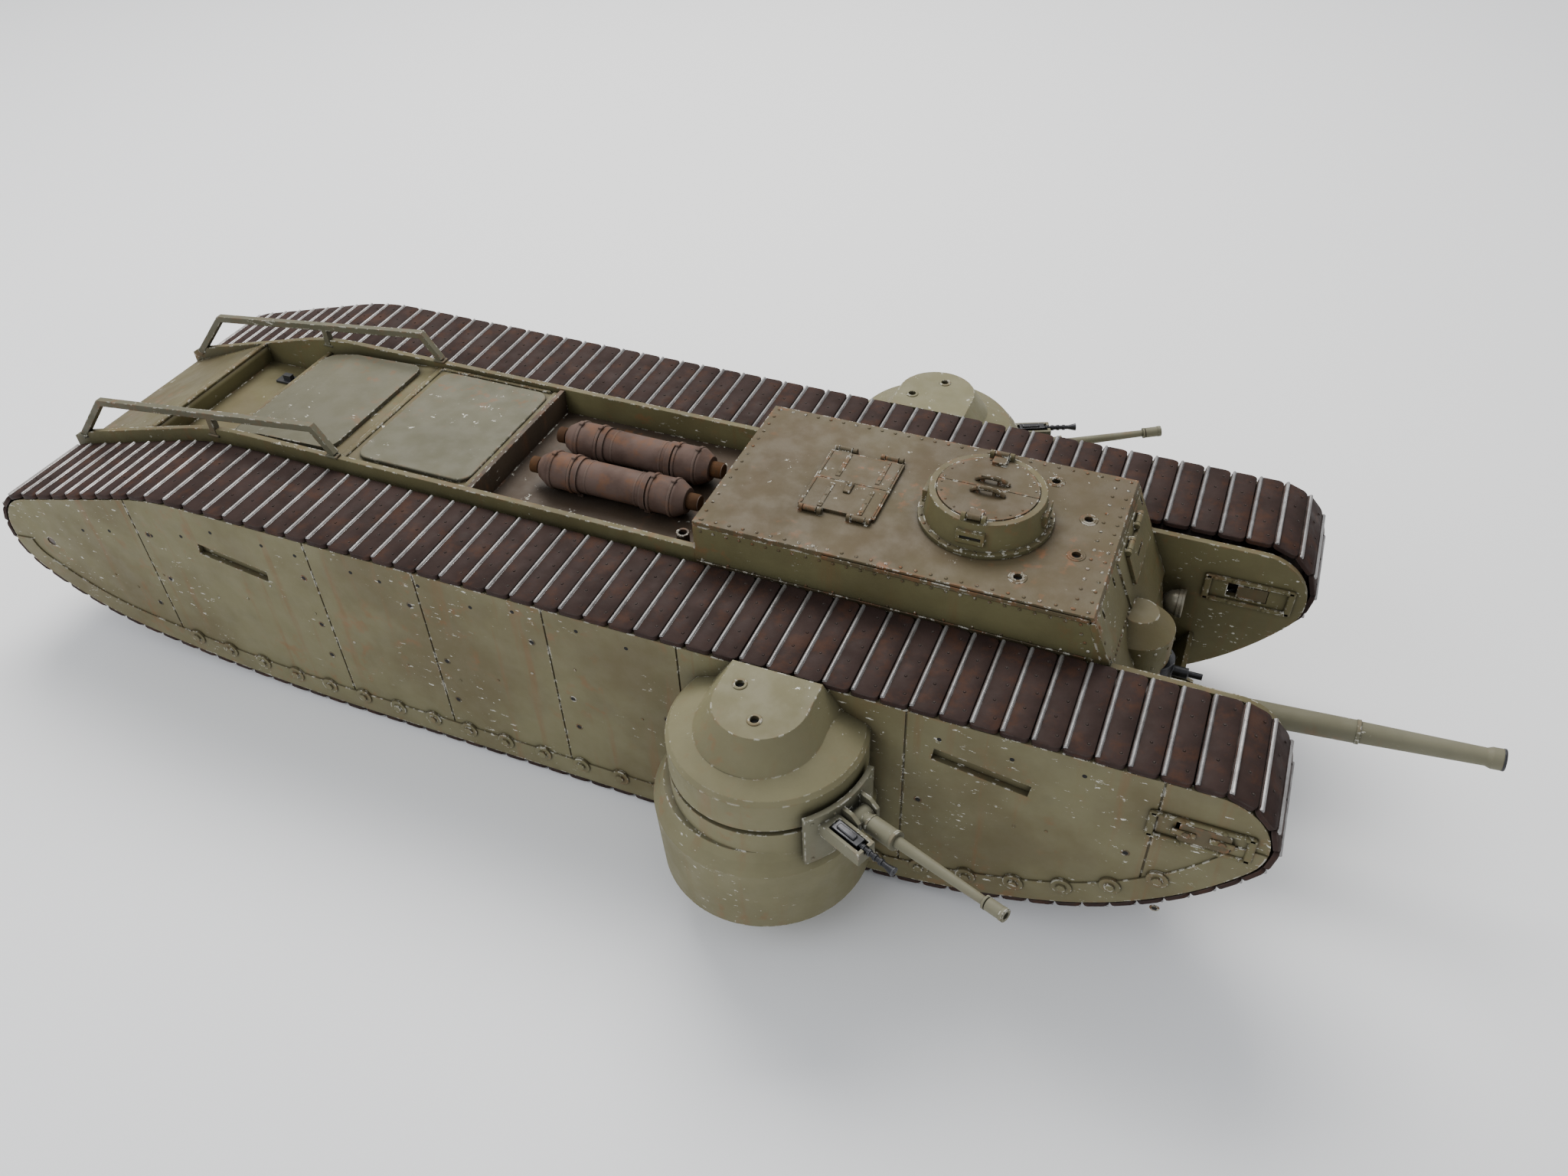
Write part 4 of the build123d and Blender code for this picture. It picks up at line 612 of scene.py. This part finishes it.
for i in range(5):
    for y in (-44.8, -5.6):
        rivets.rivet(on_front(y, 131 - 7.5 * i), front_out, 0.8, 0.45)
for i in range(14):
    rivets.rivet(on_front(-44 + i * 2.9, 112.6), front_out, 0.8, 0.45)
for i in range(9):
    rivets.rivet(on_front(-38 + 2.8 * i, 89 - 2.1 * i), front_out)
for turn in range(0, 360, 12):
    place = (CUPOLA_X + 27.7 * math.cos(math.radians(turn)), 27.7 * math.sin(math.radians(turn)), 139)
    rivets.rivet(place, up, 0.75, 0.45)
rivets.piece("cab_rivets", "chassis", ROOF)

cab_trim = Shape()
cab_trim.block((180, -47.5, 134.9), (112, 0.7, 2.2), None, 0.25)
for sign in (-1, 1):
    cab_trim.block((151, sign * 47.4, 114.6), (172, 0.8, 2.4), None, 0.25)
for x, y in ROOF_HOLES:
    cab_trim.ring((x, y, ROOF_TOP), up, 1.95, 4.0, 0.3)
cab_trim.piece("cab_trim", "chassis", ROOF)

# Painted shade: near-black floors just below the roof holes stand for the shade inside them.
pits = Shape()
for x, y in ROOF_HOLES:
    pits.lathe((x, y, ROOF_TOP - 1.6), up, ((0, 1.9), (0.2, 1.85)), 16)
pits.piece("roof_hole_floors", "chassis", HOLE_SHADE)

for side, sign in SIDES:
    straps = Shape()
    for x in (112.5, 131.0):
        straps.block((x, sign * 11.5, ROOF_TOP + 1.6), (2.2, 17.5, 0.6), None, 0.2)
        for y in (5.5, 12, 18.5):
            straps.rivet((x, sign * y, ROOF_TOP + 1.9), up, 0.5, 0.3)
    straps.tube([(104.2, sign * 20.2, ROOF_TOP + 1.5), (104.2, sign * 1.4, ROOF_TOP + 1.5)], 0.4, 6)
    straps.tube([(136.8, sign * 20.2, ROOF_TOP + 1.5), (136.8, sign * 1.4, ROOF_TOP + 1.5)], 0.4, 6)
    if sign < 0:
        straps.block((120.3, -4.2, ROOF_TOP + 2.0), (3.2, 7.0, 1.2), None, 0.3)
        straps.lathe((120.3, -2.6, ROOF_TOP + 2.3), up, ((0, 1.1), (1.2, 0.9)), 10)
    straps.piece(f"roof_hatch_straps_{side}", f"roof_hatch_{side}", ROOF)
    fittings = Shape()
    arch = [(174.5 + 1.6 * i, sign * 4.0, 152.2 + 2.4 * math.sin(math.pi * i / 9) ** 0.7) for i in range(10)]
    fittings.tube(arch, 1.05, 8)
    for turn in range(12, 176, 18):
        angle = math.radians(turn)
        place = (CUPOLA_X + 19.8 * math.cos(angle), sign * 19.8 * math.sin(angle), 152)
        fittings.rivet(place, up, 0.55, 0.35)
    fittings.piece(f"cupola_hatch_fittings_{side}", f"cupola_hatch_{side}", ROOF)

# Painted shade: near-black slits in the cupola wall stand for the shade inside the vision slits.
slits = Shape()
for turn in (0, 90, 180, 270):
    angle = math.radians(turn)
    outward = Vector((math.cos(angle), math.sin(angle), 0))
    across = Vector((-math.sin(angle), math.cos(angle), 0))
    place = Vector((CUPOLA_X, 0, 145)) + outward * 25.9
    slits.block(place, (0.5, 8.4, 1.4), (outward, across, up), 0.1)
slits.piece("cupola_slits", "chassis", HOLE_SHADE)


# ---- Deck, exhausts and rails ----------------------------------------------------------------------

sills = Shape()
sills.block((-57.8, 0, 119.0), (3.2, 87.8, 1.4), None, 0.4)
sills.block((-128.5, 0, 118.9), (3.0, 87.8, 1.4), None, 0.4)
sills.block((-203.6, 0, 112.9), (2.6, 87.8, 1.6), None, 0.4)
sills.block((-251.0, 0, 109.0), (2.6, 87.8, 1.6), None, 0.4)
for sign in (-1, 1):
    sills.block((-94, sign * 43.1, 119.1), (66, 1.8, 1.5), None, 0.4)
    for x in (-75, -110):
        sills.rivet((x, sign * 43.1, 119.8), up, 0.6, 0.4)
    for i in range(7):
        sills.rivet((-259 - 7.5 * i, sign * 41, 105.6 - 2.92 * i), (-0.36, 0, 0.93), 0.7, 0.45)
sills.piece("deck_sills", "chassis", HULL)

for side, sign in SIDES:
    y = sign * 13.1
    bands = Shape()
    for x in (-25, -14.4, 27.4, 38):
        bands.ring((x, y, 118), (1, 0, 0), 7.9, 9.6, 1.1, 32)
        bands.block((x + 0.4, y, 127.9), (2.2, 2.6, 1.2), None, 0.3)
    for x in (-6, 20):
        bands.ring((x, y, 118), (1, 0, 0), 7.9, 8.4, 1.0, 32)
    bands.piece(f"silencer_bands_{side}", "chassis", EXHAUST)
    tails = Shape()
    tails.ring((-37.8, y, 118), (1, 0, 0), 2.7, 4.0, 4.2, 20)
    tails.lathe((44.5, y, 118), (1, 0, 0), ((0, 4.0), (5.6, 4.0), (6.6, 3.3)), 20)
    tails.piece(f"silencer_tails_{side}", "chassis", TAIL)
    feet = Shape()
    for x, z in ((-204, 117.4), (-130, 122.6), (-304, 93.4)):
        feet.block((x, sign * 46.0, z), (6.5, 4.4, 1.4), None, 0.35)
        for dx in (-2.2, 2.2):
            feet.rivet((x + dx, sign * 46.0, z + 0.7), up, 0.6, 0.4)
    feet.piece(f"rail_feet_{side}", "chassis", DECK)


# ---- Sponsons and guns -----------------------------------------------------------------------------

TONGUE_HOLES = ((113.6, 110.3), (126.5, 125.7))
SPONSON_X, SPONSON_Y = 123, 112
HEADING = math.radians(-23.7)
PITCH_UP = math.radians(6.3)


def gun_frame(sign):
    """Directions along and beside the side gun's heading."""
    ahead = Vector((math.cos(HEADING), sign * -math.sin(HEADING), 0))
    beside = Vector((-math.sin(HEADING), sign * -math.cos(HEADING), 0))
    return ahead, beside


for side, sign in SIDES:
    lips = Shape()
    for x, y in TONGUE_HOLES:
        lips.ring((x, sign * y, 116.0), up, 1.9, 3.1, 0.5)
    lips.piece(f"sponson_lips_{side}", "chassis", SPONSON)
    # Painted shade: near-black floors just below the tongue holes stand for the shade inside them.
    floors = Shape()
    for x, y in TONGUE_HOLES:
        floors.lathe((x, sign * y, 114.4), up, ((0, 1.85), (0.2, 1.8)), 14)
    floors.piece(f"sponson_hole_floors_{side}", "chassis", HOLE_SHADE)
    ahead, beside = gun_frame(sign)
    centre = Vector((SPONSON_X, sign * SPONSON_Y, 0))
    pivot = centre + ahead * 52.2 + beside * 3.0
    pivot.z = 83
    bore = (ahead * math.cos(PITCH_UP) + up * math.sin(PITCH_UP)).normalized()
    gun = Shape()
    gun.lathe(pivot + bore * 17.2, bore, ((0, 4.15), (1.4, 4.15)), 24)
    gun.lathe(pivot + bore * 5.0, bore, ((0, 4.1), (1.0, 4.1)), 24)
    gun.lathe(pivot + bore * 60.8, bore, ((0, 2.75), (1.0, 2.75)), 20)
    gun.lathe(pivot + bore * 68.4, bore, ((0, 2.75), (1.6, 2.75), (1.6, 1.6), (0.2, 1.4)), 20)
    gun.piece(f"side_gun_collars_{side}", f"side_gun_{side}", GUN)
    trim = Shape()
    for turn in (-20, -8, 8, 20):
        for z in (68, 89.5):
            angle = math.radians(turn)
            direction = ahead * math.cos(angle) + beside * math.sin(angle)
            trim.rivet(centre + direction * 47.6 + up * z, direction, 0.8, 0.45)
    trim.piece(f"shield_rivets_{side}", f"gun_shield_{side}", GUN)
    mg = Shape()
    axis_start = centre + ahead * 52 - beside * 9.0
    axis_start.z = 86.8
    for u in (12, 15, 18, 21):
        mg.lathe(axis_start + ahead * u, ahead, ((0, 1.5), (1.2, 1.5)), 12)
    mg.block(axis_start + ahead * 4 + up * 1.9, (9, 2.6, 1.2), (ahead, beside, up), 0.3)
    mg.lathe(axis_start + ahead * -1.5, -ahead, ((0, 0.7), (2.0, 0.7)), 8)
    mg.piece(f"side_mg_details_{side}", f"gun_shield_{side}", GUNMETAL)

bow_axis = Vector((math.cos(math.radians(5.1)), 0, math.sin(math.radians(5.1))))
bow_pivot = Vector((275.4, 0, 59.9))
bow = Shape()
bow.lathe(bow_pivot + bow_axis * 73.5, bow_axis, ((0, 5.35), (1.6, 5.35)), 32)
bow.lathe(bow_pivot + bow_axis * 8.2, bow_axis, ((0, 6.0), (1.6, 6.0)), 32)
bow.piece("bow_gun_collars", "bow_gun", GUN)
muzzle = Shape()
muzzle.ring(bow_pivot + bow_axis * 129.2, bow_axis, 2.8, 4.75, 0.9, 32)
muzzle.lathe(bow_pivot + bow_axis * 111, bow_axis, ((0, 2.55), (0.3, 2.5)), 20)
muzzle.piece("bow_gun_muzzle", "bow_gun", GUNMETAL)

mount = Shape()
for z in (48.5, 71.3):
    for turn in (-60, -30, 30, 60):
        angle = math.radians(turn)
        direction = Vector((math.cos(angle), math.sin(angle), 0))
        mount.rivet(Vector((258, 0, z)) + direction * 11, direction, 0.7, 0.4)
mount.piece("bow_mount_rivets", "bow_gun_mount", GUN)

front = Shape()
for turn in range(-75, 76, 25):
    angle = math.radians(turn)
    direction = Vector((math.cos(angle), math.sin(angle), 0))
    for z in (92.5, 101):
        front.rivet(Vector((252, -8, z)) + direction * 16, direction, 0.75, 0.45)
for y in (-13.4, 13.4):
    for z in (48, 56, 64, 72):
        front.rivet((263.2, y, z), (1, 0, 0), 0.7, 0.4)
front.piece("front_rivets", "chassis", HULL)

for side, sign in SIDES:
    lens = Shape()
    lens.lathe((266.9, sign * 36, 83), (1, 0, 0), ((0, 5.4), (0.5, 5.3), (1.0, 4.2), (1.3, 1.5)), 28)
    lens.piece(f"headlamp_lens_{side}", "chassis", LENS)
    rim = Shape()
    rim.ring((267.4, sign * 36, 83), (1, 0, 0), 5.5, 6.7, 1.0, 32)
    rim.piece(f"headlamp_rim_{side}", "chassis", LAMP)


# ---- Materials of the kept nodes -------------------------------------------------------------------

KEPT = {
    OLIVE: ["outer_side_plate", "roller_caps"],
    BAY: ["engine_bay"],
    HULL: ["hull_tub", "rear_deck", "cab_body", "front_plate", "inner_side_plate", "driver_visor",
           "cupola_ring"],
    DECK: ["deck_cover", "deck_rail"],
    ROOF: ["cab_roof", "roof_hatch", "cupola_hatch", "idler_tensioner"],
    SPONSON: ["sponson_base", "sponson_roof"],
    GUN: ["gun_shield", "side_gun", "bow_gun"],
    EXHAUST: ["silencer"],
    GUNMETAL: ["bow_mg", "side_mg"],
    LAMP: ["headlamp"],
    WHEEL: ["drive_sprocket", "front_idler", "road_roller", "track_skid"],
    PLASTIC: ["gear_motor", "battery_pack", "power_switch"],
    BOARD: ["receiver_board"],
}
for material, starts in KEPT.items():
    for name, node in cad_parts.items():
        if name.startswith(tuple(starts)):
            node.data.materials.clear()
            node.data.materials.append(material)
            node.data.polygons.foreach_set("material_index", [0] * len(node.data.polygons))


# ---- Floor, light and camera -----------------------------------------------------------------------

bpy.ops.mesh.primitive_plane_add(size=8, location=(0, 0, -0.0002))
floor = bpy.context.object
floor.name = "floor"
table = Nodes("pale_table")
cloud = table.ramp(table.noise(0.9, 2), 0.3, 0.7)
split = table.new("ShaderNodeSeparateXYZ")
table.join(table.coords, split.inputs[0])
# Painted light: the floor colour darkens towards the camera side (-y) and brightens away from it, standing in
# for the fall of the key light.
near = table.ramp(split.outputs[1], -0.42, 0.0)
plate = table.mix(near, (0.60, 0.59, 0.585), (0.96, 0.955, 0.95))
table.join(table.mix(cloud, plate, (0.93, 0.93, 0.94)), table.shader.inputs["Base Color"])
table.shader.inputs["Metallic"].default_value = 0.0
table.shader.inputs["Roughness"].default_value = 0.42
table.shader.inputs["Specular IOR Level"].default_value = 0.3
floor.data.materials.append(table.material)

world = bpy.data.worlds.new("studio")
world.use_nodes = True
world.node_tree.nodes["Background"].inputs["Color"].default_value = (0.93, 0.96, 1.0, 1)
world.node_tree.nodes["Background"].inputs["Strength"].default_value = 0.75
bpy.context.scene.world = world


def lamp(name, place, target, size, power, color):
    light = bpy.data.lights.new(name, "AREA")
    light.shape = "RECTANGLE"
    light.size, light.size_y = size
    light.energy = power
    light.color = color
    thing = bpy.data.objects.new(name, light)
    thing.location = place
    thing.rotation_euler = (Vector(target) - Vector(place)).to_track_quat("-Z", "Y").to_euler()
    bpy.context.scene.collection.objects.link(thing)


lamp("key_light", (-0.5, 0.9, 1.5), (0, 0, 0), (1.3, 0.8), 34, (1.0, 0.985, 0.95))
lamp("fill_light", (-0.9, -1.2, 1.3), (0, 0, 0), (1.4, 1.0), 12, (0.93, 0.96, 1.0))

camera_data = bpy.data.cameras.new("camera")
camera_data.sensor_width = 36.0
camera_data.lens = 28.49
camera = bpy.data.objects.new("camera", camera_data)
right = Vector((0.92510, 0.37879, -0.02652)).normalized()
back = Vector((0.29817, -0.68143, 0.66839)).normalized()
upward = back.cross(right).normalized()
camera.matrix_world = Matrix.Translation((0.22523, -0.41345, 0.47092)) @ Matrix(
    (right, upward, back)).transposed().to_4x4()
bpy.context.scene.collection.objects.link(camera)
bpy.context.scene.camera = camera
